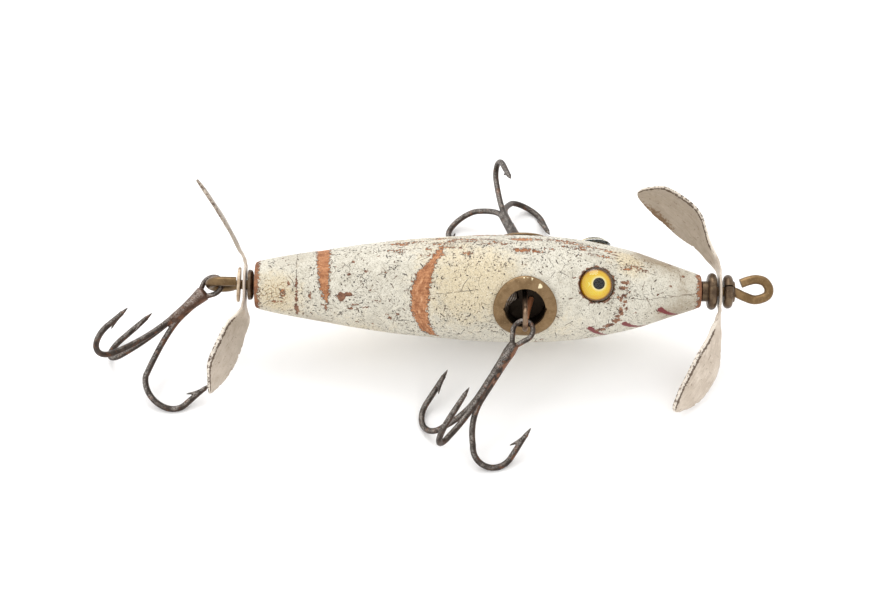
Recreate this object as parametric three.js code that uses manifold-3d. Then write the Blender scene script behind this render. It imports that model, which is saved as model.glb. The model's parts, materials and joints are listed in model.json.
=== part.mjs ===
// A turned wooden minnow lure with a spinner blade at each end and three treble hooks.
// Millimetres, +Z up. The lure lies on a surface at Z = 0, on the bends of its hooks, nose towards +X.
// While it is built, X = 0 is the tail face of the wood and the lure's own axis is the X axis.

import * as THREE from 'three';
import { mergeVertices } from 'three/addons/utils/BufferGeometryUtils.js';
import Module from 'manifold-3d';

const wasm = await Module();
wasm.setup();

// Room left between pieces that touch, and round anything that passes through a hole
const clearance = 0.3;

// Wooden body
const bodyLength = 76;
const axisHeight = 12.5; // of the lure's own axis above the surface it lies on
const bodySides = 28;
const outlineSteps = 14;
const bodyOutline = [
  // distance from the tail face, radius
  [0.5, 4.1], [3.9, 4.85], [10.7, 6.0], [23, 7.85], [36.5, 8.95],
  [43.5, 9.15], [50, 9.0], [56.2, 8.38], [64.9, 6.32], [70.3, 4.66], [75.5, 2.95],
];
const rimRounding = 0.5;
const outsideBody = 12; // a radius that clears everything on the body

// Places round the body, as angles seen from the nose: 0 is level and towards the lure's right, 90 is up
const backAngle = 104.5;
const eyeFromBack = 50.5;
const cupFromBack = 77.5;
const eyeX = 58.2;
const cupX = 45.8;

// Glass eyes
const glassRadius = 2.95;
const glassRise = 1.3;
const glassDepth = 1.6;

// Brass hook cups let into the sides
const flangeRadius = 5.35;
const flangeThickness = 0.45;
const flangeLift = clearance;
const cupBore = 3.4;
const cupTube = 4.0;
const cupFloor = 4.8; // distance of the cup's underside from the lure's axis
const cupFloorThickness = 0.6;
const hexCorner = 3.75;
const hexDepth = 1.3;

// Wire hangers inside the cups
const hangerWire = 0.45;
const hangerRing = 1.75;
const hangerLean = 11.5; // degrees towards the belly
const hangerRoot = 1.6; // how far the stem ends from the lure's axis

// Brass wire of the line tie and the tail eye
const brassWire = 0.81;
const brassInWood = 8.5;
const wireHole = brassWire + clearance;
const tailRing = 1.8;
const tailRingX = -5.94;
const tailRingTurn = 65;
const lineTieTurn = 138;
const lineTieRoute = [
  // distance from the tail face, height in the loop's own plane
  [81.9, -0.08], [83.4, -0.78], [85.3, -1.32], [87.2, -0.7],
  [87.65, 0.5], [86.9, 1.75], [85.5, 2.15], [84.1, 1.9], [82.8, 1.4],
];

// Beads and washers
const beadSides = 18;
const innerBead = { from: 77.1, to: 78.65, radius: 3.15, neckEnd: 76.2, neckRadius: 1.75 };
const outerBead = { from: 79.85, to: 81.4, radius: 2.9, neckEnd: 81.75, neckRadius: 1.8 };
const seamAngle = 69;
const seamWidth = 0.3;
const rearCup = { front: -0.3, step: -0.8, back: -1.2, neckRadius: 1.7, radius: 2.6 };
const rearWasher = { x: -2.8, radius: 3.0, thickness: 0.54, tilt: 3 };

// Spinner blades
const sheet = 0.5;
const hubRadius = 3.1;
const bladeRoot = 1.9; // distance from the lure's axis where a blade begins, inside the hub
const frontHubX = 78.95;
const rearHubX = -2.0;
// Sweep is the bend towards the tail at root and tip, pitch the twist off the hub's plane. A blade is
// half its greatest width to each side, moved aside by the skew share, with three shares of that
// width for its shoulder near the root, its shoulder near the tip, and the tip.
const frontBlades = [
  { angle: -31, length: 20.6, sweep: [12, 39], pitch: 44, half: 3.3, skew: 0.36, shares: [0.55, 0.78, 0.2] },
  { angle: 152, length: 21.4, sweep: [35, 58], pitch: 33, half: 3.8, skew: 0.48, shares: [0.47, 0.82, 0.2] },
];
const rearBlades = [
  { angle: -27, length: 18.8, sweep: [-10, 47], pitch: 29, half: 3.5, skew: -0.85, shares: [0.9, 0.8, 0.1] },
  { angle: 152, length: 19.2, sweep: [27, 36], pitch: -4, half: 3.3, skew: -0.2, shares: [0.72, 0.78, 0.2] },
];

// Treble hooks. A shank runs from the middle of the eye to where the three points part.
const hookWire = 0.46;
const hookEyeRadius = 1.75;
const hookShankOffset = 0.42;
const hookBend = { radius: 3.4, out: 6.3, down: 5.45 };
const barbFromPoint = 4.4;
const barbRise = 1.15;
// How each hook hangs: its heading seen from above, where its eye's middle lies in the ring, along
// the line that both share and across it, and each point's turn about the shank, spread and reach,
// which wear has bent a little differently. The first point is up and the other two rest on the surface.
const rightHook = {
  shank: 12.65, heading: -128.1, inRing: [2.1, 0.36], hangerRingOut: 10.8,
  points: [
    { turn: -5, spread: 0.9, reach: 1.11 }, { turn: -121.5, spread: 1.02, reach: 1.07 },
    { turn: 117, spread: 1.12, reach: 1.1 },
  ],
};
const leftHook = {
  shank: 12.65, heading: 104, inRing: [1.2, 0.17], hangerRingOut: 9.6,
  points: [
    { turn: 11.7, spread: 0.76, reach: 0.99 }, { turn: -118.2, spread: 1.1, reach: 0.81 },
    { turn: 123.5, spread: 0.99, reach: 0.93 },
  ],
};
const tailHook = {
  shank: 11.53, heading: -141.8, inRing: [1.55, 0.2],
  points: [
    { turn: 2.2, spread: 1.11, reach: 1.16 }, { turn: -118.3, spread: 1.26, reach: 0.97 },
    { turn: 123.8, spread: 1.01, reach: 1.04 },
  ],
};

const degrees = THREE.MathUtils.degToRad;
const lengthwise = new THREE.Vector3(1, 0, 0);
const alongAxis = new THREE.Matrix4().makeRotationY(Math.PI / 2);
const lure = new THREE.Group();

// Materials

function metal(color, roughness) {
  return new THREE.MeshStandardMaterial({ color, roughness, metalness: 0.85 });
}

const paintedWood = () => new THREE.MeshStandardMaterial({ color: 0xc9c4b2, roughness: 0.6 });
const yellowGlass = () => new THREE.MeshStandardMaterial({ color: 0xd8b22c, roughness: 0.08 });
const brass = () => metal(0x8f7448, 0.45);
const darkBrass = () => metal(0x64533a, 0.5);
const nickel = () => metal(0xb9ada0, 0.4);
const blackenedSteel = () => metal(0x3a302a, 0.55);

// Solids

function signedVolume({ attributes: { position }, index }) {
  const [a, b, c] = [new THREE.Vector3(), new THREE.Vector3(), new THREE.Vector3()];
  let volume = 0;
  for (let i = 0; i < index.count; i += 3) {
    a.fromBufferAttribute(position, index.getX(i));
    b.fromBufferAttribute(position, index.getX(i + 1));
    c.fromBufferAttribute(position, index.getX(i + 2));
    volume += a.dot(b.cross(c)) / 6;
  }
  return volume;
}

function solidOf(geometry, matrix = new THREE.Matrix4()) {
  const bare = geometry.clone();
  bare.deleteAttribute('normal');
  bare.deleteAttribute('uv');
  const welded = mergeVertices(bare, 1e-5).applyMatrix4(matrix);
  const triVerts = Uint32Array.from(welded.index.array);
  if (signedVolume(welded) < 0) {
    for (let i = 0; i < triVerts.length; i += 3) {
      [triVerts[i], triVerts[i + 1]] = [triVerts[i + 1], triVerts[i]];
    }
  }
  const vertProperties = Float32Array.from(welded.attributes.position.array);
  return new wasm.Manifold(new wasm.Mesh({ numProp: 3, vertProperties, triVerts }));
}

function addPiece(name, solid, material) {
  const { vertProperties, triVerts } = solid.getMesh();
  const geometry = new THREE.BufferGeometry();
  geometry.setAttribute('position', new THREE.BufferAttribute(vertProperties, 3));
  geometry.setIndex(new THREE.BufferAttribute(triVerts, 1));
  geometry.computeVertexNormals();
  const mesh = new THREE.Mesh(geometry, material);
  mesh.name = name;
  lure.add(mesh);
}

// A solid of revolution round the lure's axis from pairs of x and radius
function turned(profile, sides) {
  const points = profile.map(([x, radius]) => new THREE.Vector2(radius, x));
  return solidOf(new THREE.LatheGeometry(points, sides), new THREE.Matrix4().makeRotationZ(-Math.PI / 2));
}

// A cylinder along Z from low to high, in a given frame
function post(radius, low, high, frame, sides = 18) {
  const local = new THREE.Matrix4().makeRotationX(Math.PI / 2).setPosition(0, 0, (low + high) / 2);
  const cylinder = new THREE.CylinderGeometry(radius, radius, high - low, sides);
  return solidOf(cylinder, frame.clone().multiply(local));
}

// A skin over rings of points, capped at both ends or closed on itself
function skin(rings, closed = false) {
  const count = rings[0].length;
  const positions = rings.flat().flatMap((point) => point.toArray());
  const index = [];
  const bands = closed ? rings.length : rings.length - 1;
  for (let i = 0; i < bands; i += 1) {
    const here = i * count;
    const next = ((i + 1) % rings.length) * count;
    for (let j = 0; j < count; j += 1) {
      const k = (j + 1) % count;
      index.push(here + j, next + j, next + k, here + j, next + k, here + k);
    }
  }
  if (!closed) {
    const end = bands * count;
    for (let j = 1; j < count - 1; j += 1) index.push(0, j, j + 1, end, end + j + 1, end + j);
  }
  const geometry = new THREE.BufferGeometry();
  geometry.setAttribute('position', new THREE.Float32BufferAttribute(positions, 3));
  geometry.setIndex(index);
  return geometry;
}

// A round wire through flat points [a, b] in the plane of two directions, with a radius at each point
function wire(points, radii, origin, dirA, dirB, { sides = 6, closed = false } = {}) {
  const normal = new THREE.Vector3().crossVectors(dirA, dirB);
  const last = points.length - 1;
  const rings = points.map(([a, b], i) => {
    const before = points[closed ? (i + last) % points.length : Math.max(i - 1, 0)];
    const after = points[closed ? (i + 1) % points.length : Math.min(i + 1, last)];
    const run = new THREE.Vector2(after[0] - before[0], after[1] - before[1]).normalize();
    const across = dirA.clone().multiplyScalar(-run.y).addScaledVector(dirB, run.x);
    const middle = origin.clone().addScaledVector(dirA, a).addScaledVector(dirB, b);
    return Array.from({ length: sides }, (_, j) => {
      const turn = ((j + 0.5) / sides) * Math.PI * 2;
      return middle.clone()
        .addScaledVector(across, radii(i) * Math.cos(turn))
        .addScaledVector(normal, radii(i) * Math.sin(turn));
    });
  });
  return solidOf(skin(rings, closed));
}

function circlePoints(centreA, centreB, radius, steps) {
  return Array.from({ length: steps }, (_, i) => {
    const turn = (i / steps) * Math.PI * 2;
    return [centreA + radius * Math.cos(turn), centreB + radius * Math.sin(turn)];
  });
}

function splinePoints(pairs, steps) {
  const curve = new THREE.SplineCurve(pairs.map(([a, b]) => new THREE.Vector2(a, b)));
  return curve.getPoints(steps).map((point) => point.toArray());
}

// Directions square to the lure's axis, and a frame at x on it with Z outwards and X along the lure

function outwards(angle) {
  return new THREE.Vector3(0, -Math.cos(degrees(angle)), Math.sin(degrees(angle)));
}

function onwards(angle) {
  return new THREE.Vector3(0, Math.sin(degrees(angle)), Math.cos(degrees(angle)));
}

function sideFrame(x, angle) {
  return new THREE.Matrix4().makeBasis(lengthwise, onwards(angle), outwards(angle)).setPosition(x, 0, 0);
}

// Wooden body, with its bores for the brass wires, seats for the eyes and sockets for the cups

const eyeSides = [
  { name: 'right', angle: backAngle - eyeFromBack },
  { name: 'left', angle: backAngle + eyeFromBack },
];
const cupSides = [
  { name: 'right', angle: backAngle - cupFromBack, towardsBelly: -1, hook: rightHook },
  { name: 'left', angle: backAngle + cupFromBack, towardsBelly: 1, hook: leftHook },
];
const outline = splinePoints(bodyOutline, outlineSteps);

function bodyRadius(x) {
  const next = outline.findIndex((point) => point[0] > x);
  const [before, after] = [outline[next - 1], outline[next]];
  return THREE.MathUtils.mapLinear(x, before[0], after[0], before[1], after[1]);
}

// The body's outer form, grown by an offset
function bodyForm(offset) {
  const [tailRadius, noseRadius] = [outline[0][1], outline[outlineSteps][1]];
  const profile = [
    [0, 0], [0, tailRadius + offset - rimRounding],
    ...outline.map(([x, radius]) => [x, radius + offset]),
    [bodyLength, noseRadius + offset - rimRounding], [bodyLength, 0],
  ];
  return turned(profile, bodySides);
}

// A frame with its origin under a cup, leaning towards the belly
function hangerFrame({ angle, towardsBelly }) {
  return sideFrame(cupX, angle)
    .multiply(new THREE.Matrix4().makeTranslation(0, 0, cupFloor))
    .multiply(new THREE.Matrix4().makeRotationX(-towardsBelly * degrees(hangerLean)));
}

const glassFoot = bodyRadius(eyeX);

function woodenBody() {
  const bore = brassInWood + clearance;
  let body = bodyForm(0)
    .subtract(post(wireHole, -1, bore, alongAxis, 10))
    .subtract(post(wireHole, bodyLength - bore, bodyLength + 1, alongAxis, 10));
  for (const side of eyeSides) {
    const bottom = glassFoot - glassDepth - clearance;
    body = body.subtract(post(glassRadius + clearance, bottom, outsideBody, sideFrame(eyeX, side.angle)));
  }
  for (const side of cupSides) {
    const socket = post(cupTube + clearance, cupFloor - clearance, outsideBody, sideFrame(cupX, side.angle));
    const pilot = post(hangerWire + clearance, -cupFloor, 1, hangerFrame(side), 8);
    body = body.subtract(socket).subtract(pilot);
  }
  return body;
}

addPiece('body', woodenBody(), paintedWood());

// Glass eyes: a domed front on a short plug

function glassEye(side) {
  const curve = (glassRadius ** 2 + glassRise ** 2) / (2 * glassRise);
  const span = Math.asin(glassRadius / curve);
  const domeSteps = 4;
  const dome = Array.from({ length: domeSteps + 1 }, (_, i) => {
    const turn = span * (1 - i / domeSteps);
    return new THREE.Vector2(curve * Math.sin(turn), glassRise - curve * (1 - Math.cos(turn)));
  });
  const profile = [new THREE.Vector2(0, -glassDepth), new THREE.Vector2(glassRadius, -glassDepth), ...dome];
  const upright = new THREE.Matrix4().makeRotationX(Math.PI / 2).setPosition(0, 0, glassFoot);
  return solidOf(new THREE.LatheGeometry(profile, 20), sideFrame(eyeX, side.angle).multiply(upright));
}

for (const side of eyeSides) addPiece(`glass_eye_${side.name}`, glassEye(side), yellowGlass());

// Hook cups: a flange bent to the body, a bored tube with a floor, and a hexagon at the mouth

function hookCup(side) {
  const frame = sideFrame(cupX, side.angle);
  const cornersAlong = frame.clone().multiply(new THREE.Matrix4().makeRotationZ(Math.PI / 2));
  const outer = bodyForm(flangeLift + flangeThickness);
  const mouth = bodyRadius(cupX) + flangeLift + flangeThickness;
  const rim = post(flangeRadius, 2, outsideBody, frame, 24);
  const flange = outer.subtract(bodyForm(flangeLift)).intersect(rim);
  return post(cupTube, cupFloor, outsideBody, frame)
    .intersect(outer)
    .add(flange)
    .subtract(post(cupBore, cupFloor + cupFloorThickness, outsideBody, frame))
    .subtract(post(hexCorner, mouth - hexDepth, outsideBody, cornersAlong, 6))
    .subtract(post(hangerWire + clearance, -1, 2, hangerFrame(side), 8));
}

for (const side of cupSides) addPiece(`hook_cup_${side.name}`, hookCup(side), brass());

// Wire hangers: a ring square to the lure's length, on a stem screwed into the wood

function ringHeight({ hook }) {
  return (hook.hangerRingOut - cupFloor) / Math.cos(degrees(hangerLean));
}

function hookHanger(side) {
  const frame = hangerFrame(side);
  const height = ringHeight(side);
  const foot = new THREE.Vector3().setFromMatrixPosition(frame);
  const across = new THREE.Vector3().setFromMatrixColumn(frame, 1);
  const up = new THREE.Vector3().setFromMatrixColumn(frame, 2);
  const circle = circlePoints(0, height, hangerRing, 14);
  const ring = wire(circle, () => hangerWire, foot, across, up, { closed: true });
  return ring.add(post(hangerWire, hangerRoot - cupFloor, height - hangerRing, frame, 6));
}

for (const side of cupSides) addPiece(`hook_hanger_${side.name}`, hookHanger(side), darkBrass());

// Brass line tie at the nose and closed eye at the tail

function lineTie() {
  const points = [[bodyLength - brassInWood, 0], ...splinePoints([[81, 0], ...lineTieRoute], 17)];
  return wire(points, () => brassWire, new THREE.Vector3(), lengthwise, outwards(lineTieTurn));
}

function tailEye() {
  const loop = circlePoints(tailRingX, 0, tailRing, 16);
  const options = { closed: true };
  return wire(loop, () => brassWire, new THREE.Vector3(), lengthwise, outwards(tailRingTurn), options)
    .add(post(brassWire, tailRingX + tailRing, brassInWood, alongAxis, 6));
}

addPiece('line_tie', lineTie(), brass());
addPiece('tail_eye', tailEye(), brass());

// Beads and washers on the wires

// A rounded bead with a neck at one end, bored for the wire
function bead({ from, to, radius, neckEnd, neckRadius }) {
  const bulge = (to - from) / 2;
  const steps = 4;
  const round = Array.from({ length: steps + 1 }, (_, i) => {
    const turn = (i / steps) * Math.PI;
    return [from + bulge * (1 - Math.cos(turn)), radius - bulge * (1 - Math.sin(turn))];
  });
  const neck = [[neckEnd, wireHole], [neckEnd, neckRadius]];
  const profile = neckEnd < from
    ? [...neck, [from, neckRadius], ...round, [to, wireHole], neck[0]]
    : [[from, wireHole], ...round, [to, neckRadius], ...neck.reverse(), [from, wireHole]];
  return turned(profile, beadSides);
}

function seam() {
  const frame = sideFrame((outerBead.from + outerBead.to) / 2, seamAngle);
  const box = new THREE.BoxGeometry(4, seamWidth, 3);
  return solidOf(box, frame.multiply(new THREE.Matrix4().makeTranslation(0, 0, wireHole + 1)));
}

function rearCupWasher({ front, step, back, neckRadius, radius }) {
  const profile = [
    [front, wireHole], [front, neckRadius], [step, radius],
    [back, radius], [back, wireHole], [front, wireHole],
  ];
  return turned(profile, beadSides);
}

function tiltedWasher({ x, radius, thickness, tilt }) {
  const frame = new THREE.Matrix4().makeRotationY(degrees(tilt)).setPosition(x, 0, 0).multiply(alongAxis);
  return post(radius, -thickness / 2, thickness / 2, frame)
    .subtract(post(wireHole + 0.1, -1, 1, frame, 12));
}

addPiece('front_inner_bead', bead(innerBead), darkBrass());
addPiece('front_outer_bead', bead(outerBead).subtract(seam()), darkBrass());
addPiece('rear_cup_washer', rearCupWasher(rearCup), darkBrass());
addPiece('rear_washer', tiltedWasher(rearWasher), brass());

// Spinner blades

const { smoothstep, lerp } = THREE.MathUtils;

// One blade from the hub out
function blade({ angle, length, sweep, pitch, half, skew, shares: [root, shoulder, tip] }, hubX) {
  const steps = 13;
  const widths = new THREE.CubicInterpolant(
    [0, 0.12, 0.3, 0.5, 0.68, 0.85, 1],
    [0.4, 0.42, root, 0.98, 1, shoulder, tip].map((share) => share * half),
    1,
  );
  const out = outwards(angle);
  const rings = [];
  let x = hubX + sheet / 2;
  let reach = bladeRoot;
  for (let i = 0; i <= steps; i += 1) {
    const s = i / steps;
    const lean = degrees(lerp(...sweep, s)) * smoothstep(s, 0, 0.12);
    const twist = degrees(pitch) * smoothstep(s, 0.02, 0.3);
    const [width] = widths.evaluate(s);
    const hollow = 0.12 * width * smoothstep(s, 0.05, 0.3);
    const along = new THREE.Vector3(-Math.sin(lean), 0, 0).addScaledVector(out, Math.cos(lean));
    const forward = new THREE.Vector3(Math.cos(lean), 0, 0).addScaledVector(out, Math.sin(lean));
    const chord = onwards(angle).multiplyScalar(-Math.cos(twist)).addScaledVector(forward, Math.sin(twist));
    const face = new THREE.Vector3().crossVectors(along, chord).normalize();
    const middle = new THREE.Vector3(x, 0, 0)
      .addScaledVector(out, reach)
      .addScaledVector(chord, skew * width * smoothstep(s, 0.05, 0.4));
    const corner = (across, side, rise) => middle.clone()
      .addScaledVector(chord, across * width)
      .addScaledVector(face, side * sheet / 2 + rise * hollow);
    const back = [corner(-1, -1, 0), corner(0, -1, 1), corner(1, -1, 0)];
    const front = [corner(1, 1, 0), corner(0, 1, 1), corner(-1, 1, 0)];
    rings.push([...back, ...front]);
    x -= (Math.sin(lean) * length) / steps;
    reach += (Math.cos(lean) * length) / steps;
  }
  return solidOf(skin(rings));
}

function propeller(hubX, blades) {
  let solid = post(hubRadius, hubX, hubX + sheet, alongAxis, 20);
  for (const settings of blades) solid = solid.add(blade(settings, hubX));
  return solid.subtract(post(wireHole, hubX - 1, hubX + 2, alongAxis, 10));
}

addPiece('front_propeller', propeller(frontHubX, frontBlades), nickel());
addPiece('rear_propeller', propeller(rearHubX, rearBlades), nickel());

// Treble hooks

// The wire of one point, as pairs of distance from the shank's middle and distance from the eye
function hookLine(shank, { spread, reach }) {
  const { radius, out, down } = hookBend;
  const onBend = (turn) => [out + radius * Math.cos(degrees(turn)), down + radius * Math.sin(degrees(turn))];
  const bendStart = 150;
  const bendSteps = 7;
  const flare = new THREE.QuadraticBezierCurve(
    new THREE.Vector2(hookShankOffset, 0),
    new THREE.Vector2(hookShankOffset, 2.46),
    new THREE.Vector2(...onBend(bendStart)),
  );
  const bend = Array.from({ length: bendSteps }, (_, i) => onBend(bendStart * (1 - (i + 1) / bendSteps)));
  const tip = [[0, -2.3], [0.05, -4.1], [0.15, -5.8]].map(([a, b]) => [out + radius + a, down + b]);
  const free = [...flare.getPoints(3).map((point) => point.toArray()), ...bend, ...tip];
  return [[hookShankOffset, 3], ...free.map(([a, b]) => [a * spread, shank + b * reach])];
}

// The drop of the shank at which the bends of the lower points rest on the surface
function restingDrop(eyeHeight, lines) {
  let [low, high] = [0, degrees(80)];
  for (let i = 0; i < 30; i += 1) {
    const drop = (low + high) / 2;
    const height = ({ turn, line }) => Math.min(...line.map(([out, down]) => (
      eyeHeight - down * Math.sin(drop) + out * Math.cos(degrees(turn)) * Math.cos(drop)
    )));
    if (Math.min(...lines.map(height)) > hookWire) low = drop;
    else high = drop;
  }
  return low;
}

// Where a hook comes to rest with its eye linked in a ring: the eye's middle and the hook's directions
function resting({ heading, inRing: [along, across] }, lines, ring, ringFace) {
  const level = new THREE.Vector3(Math.cos(degrees(heading)), Math.sin(degrees(heading)), 0);
  let drop = degrees(25);
  let pose = null;
  for (let i = 0; i < 12; i += 1) {
    const down = level.clone().multiplyScalar(Math.cos(drop)).setZ(-Math.sin(drop));
    const up = level.clone().multiplyScalar(Math.sin(drop)).setZ(Math.cos(drop));
    const shared = new THREE.Vector3().crossVectors(ringFace, up).normalize();
    if (shared.dot(down) < 0) shared.negate();
    const crossing = new THREE.Vector3().crossVectors(up, shared);
    if (crossing.dot(down) < 0) crossing.negate();
    const eye = ring.clone().addScaledVector(shared, along).addScaledVector(crossing, across);
    pose = { eye, down, up, aside: new THREE.Vector3().crossVectors(down, up) };
    drop = restingDrop(eye.z + axisHeight, lines);
  }
  return pose;
}

function treble(hook, ring, ringFace) {
  const lines = hook.points.map((point) => ({ turn: point.turn, line: hookLine(hook.shank, point) }));
  const { eye, down, up, aside } = resting(hook, lines, ring, ringFace);
  const loopSteps = 9;
  const loop = Array.from({ length: loopSteps + 1 }, (_, i) => {
    const turn = degrees(155 + (230 * i) / loopSteps);
    return [hookEyeRadius * Math.cos(turn), hookEyeRadius * Math.sin(turn)];
  });
  const eyeLine = [[0.35, 3], [-0.35, 3], ...loop];
  const braze = [[0, 2.4], [0, 4.3], [0, 8.7]];
  const brazeRadius = (i) => [1.0, 1.12, 0.86][i];
  let solid = wire(eyeLine, () => hookWire, eye, aside, down, { closed: true })
    .add(wire(braze, brazeRadius, eye, aside, down));
  for (const { turn, line } of lines) {
    const out = up.clone()
      .multiplyScalar(Math.cos(degrees(turn)))
      .addScaledVector(aside, Math.sin(degrees(turn)));
    const last = line.length - 1;
    const [tipOut, tipDown] = line[last];
    const lineRadius = (i) => [0.03, 0.3, 0.43][last - i] ?? hookWire;
    const barb = [[tipOut - 0.1, tipDown + barbFromPoint / 2], [tipOut - barbRise, tipDown + barbFromPoint]];
    const barbRadius = (i) => [0.32, 0.05][i];
    solid = solid.add(wire(line, lineRadius, eye, out, down)).add(wire(barb, barbRadius, eye, out, down));
  }
  return solid;
}

for (const side of cupSides) {
  const ring = new THREE.Vector3(0, 0, ringHeight(side)).applyMatrix4(hangerFrame(side));
  addPiece(`treble_hook_${side.name}`, treble(side.hook, ring, lengthwise), blackenedSteel());
}
const tailRingMiddle = new THREE.Vector3(tailRingX, 0, 0);
addPiece('treble_hook_tail', treble(tailHook, tailRingMiddle, onwards(tailRingTurn)), blackenedSteel());

// The finished lure stands with the middle of its outer box over the origin

const bounds = new THREE.Box3().setFromObject(lure);
const boxMiddle = bounds.getCenter(new THREE.Vector3());
lure.position.set(-boxMiddle.x, -boxMiddle.y, -bounds.min.z);
lure.updateMatrixWorld(true);

export default lure;
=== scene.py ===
"""An old turned-wood minnow lure with a spinner blade at each end and three treble hooks.

Sizes are millimetres in the lure's own frame: X = 0 is the tail face of the wood and the lure's axis
is the X axis. Angles round the body are in degrees: 0 is level on the lure's right side, 90 is up.
"""

import json
import math
from dataclasses import dataclass

import bpy
import numpy as np
from mathutils import Matrix, Vector
from mathutils import noise as lumps
from mathutils.kdtree import KDTree


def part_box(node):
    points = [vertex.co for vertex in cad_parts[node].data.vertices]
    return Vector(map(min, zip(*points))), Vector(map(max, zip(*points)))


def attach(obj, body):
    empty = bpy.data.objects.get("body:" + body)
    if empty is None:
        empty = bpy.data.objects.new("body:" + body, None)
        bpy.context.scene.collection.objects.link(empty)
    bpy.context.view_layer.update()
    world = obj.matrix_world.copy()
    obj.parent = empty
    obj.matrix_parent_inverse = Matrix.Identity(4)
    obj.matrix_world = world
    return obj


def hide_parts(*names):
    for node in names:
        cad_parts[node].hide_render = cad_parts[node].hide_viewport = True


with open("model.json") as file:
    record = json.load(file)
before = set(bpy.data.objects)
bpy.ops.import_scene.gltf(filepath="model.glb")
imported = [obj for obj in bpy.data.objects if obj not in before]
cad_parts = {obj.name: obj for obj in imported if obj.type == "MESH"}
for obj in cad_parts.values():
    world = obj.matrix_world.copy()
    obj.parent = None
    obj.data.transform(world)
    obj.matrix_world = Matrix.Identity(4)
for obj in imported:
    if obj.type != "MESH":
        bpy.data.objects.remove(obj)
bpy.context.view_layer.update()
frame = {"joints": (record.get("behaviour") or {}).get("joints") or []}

MM = 0.001
axis_m = frame["joints"][0]["pos_m"]
origin_m = np.array([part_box("body")[0].x, axis_m[1], axis_m[2]])
axis_height = origin_m[2] / MM

# Wooden body
BODY_LENGTH = 76.0
BODY_OUTLINE = [  # distance from the tail face, radius
    (0.5, 4.1), (3.9, 4.85), (10.7, 6.0), (23, 7.85), (36.5, 8.95),
    (43.5, 9.15), (50, 9.0), (56.2, 8.38), (61.0, 7.45), (65.2, 6.42), (70.3, 4.68), (75.5, 2.95),
]
RIM_ROUNDING = 0.5
WIRE_BORE = 1.11
BORE_DEPTH = 8.8
BODY_STEPS, BODY_SIDES = 330, 248
PAINT_THICKNESS = 0.1
LUMP_HEIGHT = 0.02
SKIN_REACH, FACE_REACH = 0.06, 0.6  # how close to the outline and to the end faces the paint is
ALMOST_AXIS = 0.02
CUTTER_TOP, CUTTER_SIDES = 12, 72

# Places round the body
BACK_ANGLE = 104.5
EYE_FROM_BACK = 50.5
CUP_FROM_BACK = 77.5
EYE_X = 57.8
CUP_X = 45.8

# Glass eyes
GLASS_RADIUS = 2.85
GLASS_RISE = 1.25
GLASS_DEPTH = 0.5
SEAT_RADIUS = 3.02
SEAT_DEPTH = 1.9
IRIS_RADIUS = 2.4
IRIS_DISC = 2.7
IRIS_FRONT, IRIS_BACK = -0.42, -1.4
PUPIL_RADIUS = 0.86
IRIS_SHIFT = -0.18, -0.05
PUPIL_SHIFT = 0.3, 0.14

# Brass hook cups
FLANGE_RADIUS = 5.35
FLANGE_THICKNESS = 0.5
FLANGE_LIFT = 0.25
FLANGE_EDGE = 0.15
CUP_BORE = 3.4
CUP_TUBE = 4.0
CUP_FLOOR = 4.8
CUP_FLOOR_THICKNESS = 0.6
HEX_CORNER = 3.66
HEX_DEPTH = 1.3
THREAD_PITCH = 0.6
THREAD_DEPTH = 0.16
THREAD_LEAN, THREAD_LEAN_AT, THREAD_LEAN_WIDTH = 2.5, 158, 42
FLECKS = [(-1.9, 4.6), (-0.3, 5.05), (0.4, 5.0), (1.1, 4.95), (2.4, 4.1), (2.7, 4.0), (3.6, -2.6)]
CUP_SIDES = 120
CUP_MIDDLE = 0.05
SOCKET_ROOM, SOCKET_DEEPER = 0.2, 0.3

# Wire hangers inside the cups
HANGER_WIRE = 0.45
HANGER_RING = 1.75
HANGER_LEAN = 11.5

# Brass wire of the line tie and the tail eye
BRASS_WIRE = 0.8
BRASS_IN_WOOD = 8.5
TAIL_RING = 1.8
TAIL_RING_X = -5.94
TAIL_RING_TURN = 65
TAIL_END_X = -3.16
LINE_TIE_TURN = 138
LINE_TIE_ROUTE = [  # distance from the tail face, height in the loop's own plane
    (81.0, 0.0), (81.9, -0.08), (83.4, -0.78), (85.3, -1.32), (87.2, -0.7),
    (87.65, 0.5), (86.9, 1.75), (85.5, 2.15), (84.1, 1.9), (82.8, 1.4),
]

# Beads and washers
BEAD_BORE = BRASS_WIRE + 0.12
INNER_BEAD = {"from": 77.1, "to": 78.65, "radius": 3.15, "neck_end": 76.15, "neck_radius": 1.75}
OUTER_BEAD = {"from": 79.85, "to": 81.4, "radius": 2.9, "neck_end": 81.75, "neck_radius": 1.8}
SEAM_ANGLE = 69
SEAM_WIDTH = 0.26
REAR_CUP = {"front": -0.3, "step": -0.8, "back": -1.2, "neck_radius": 1.7, "radius": 2.6}
REAR_WASHER = {"x": -2.8, "radius": 3.0, "thickness": 0.54, "tilt": 3}

# Spinner blades
SHEET = 0.46
CAD_SHEET = 0.5
HUB_RADIUS = 3.1
HUB_HOLE = 1.0
BLADE_ROOT = 1.9
FRONT_HUB_X = 78.95
REAR_HUB_X = -2.0
BLADE_STATIONS = 13
BLADE_STEPS = 90
EDGE_WIDTH = 0.2
TIP_ROUND = 0.035  # share of a blade's length
NICK_DEPTH, NICKED_FROM, NICKED_TO = 0.26, 0.35, 0.95  # the stretch in shares of a blade's length
DENT_DEPTH, DENTS_AT, DENTS_REACH = 0.26, 4.6, 2.0  # the place as a distance from the lure's axis
WAVE_HEIGHT = 0.06
FLAT_HUB = 2.9, 3.6  # where the flat hub ends, and where dents and waves have their full depth
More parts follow.
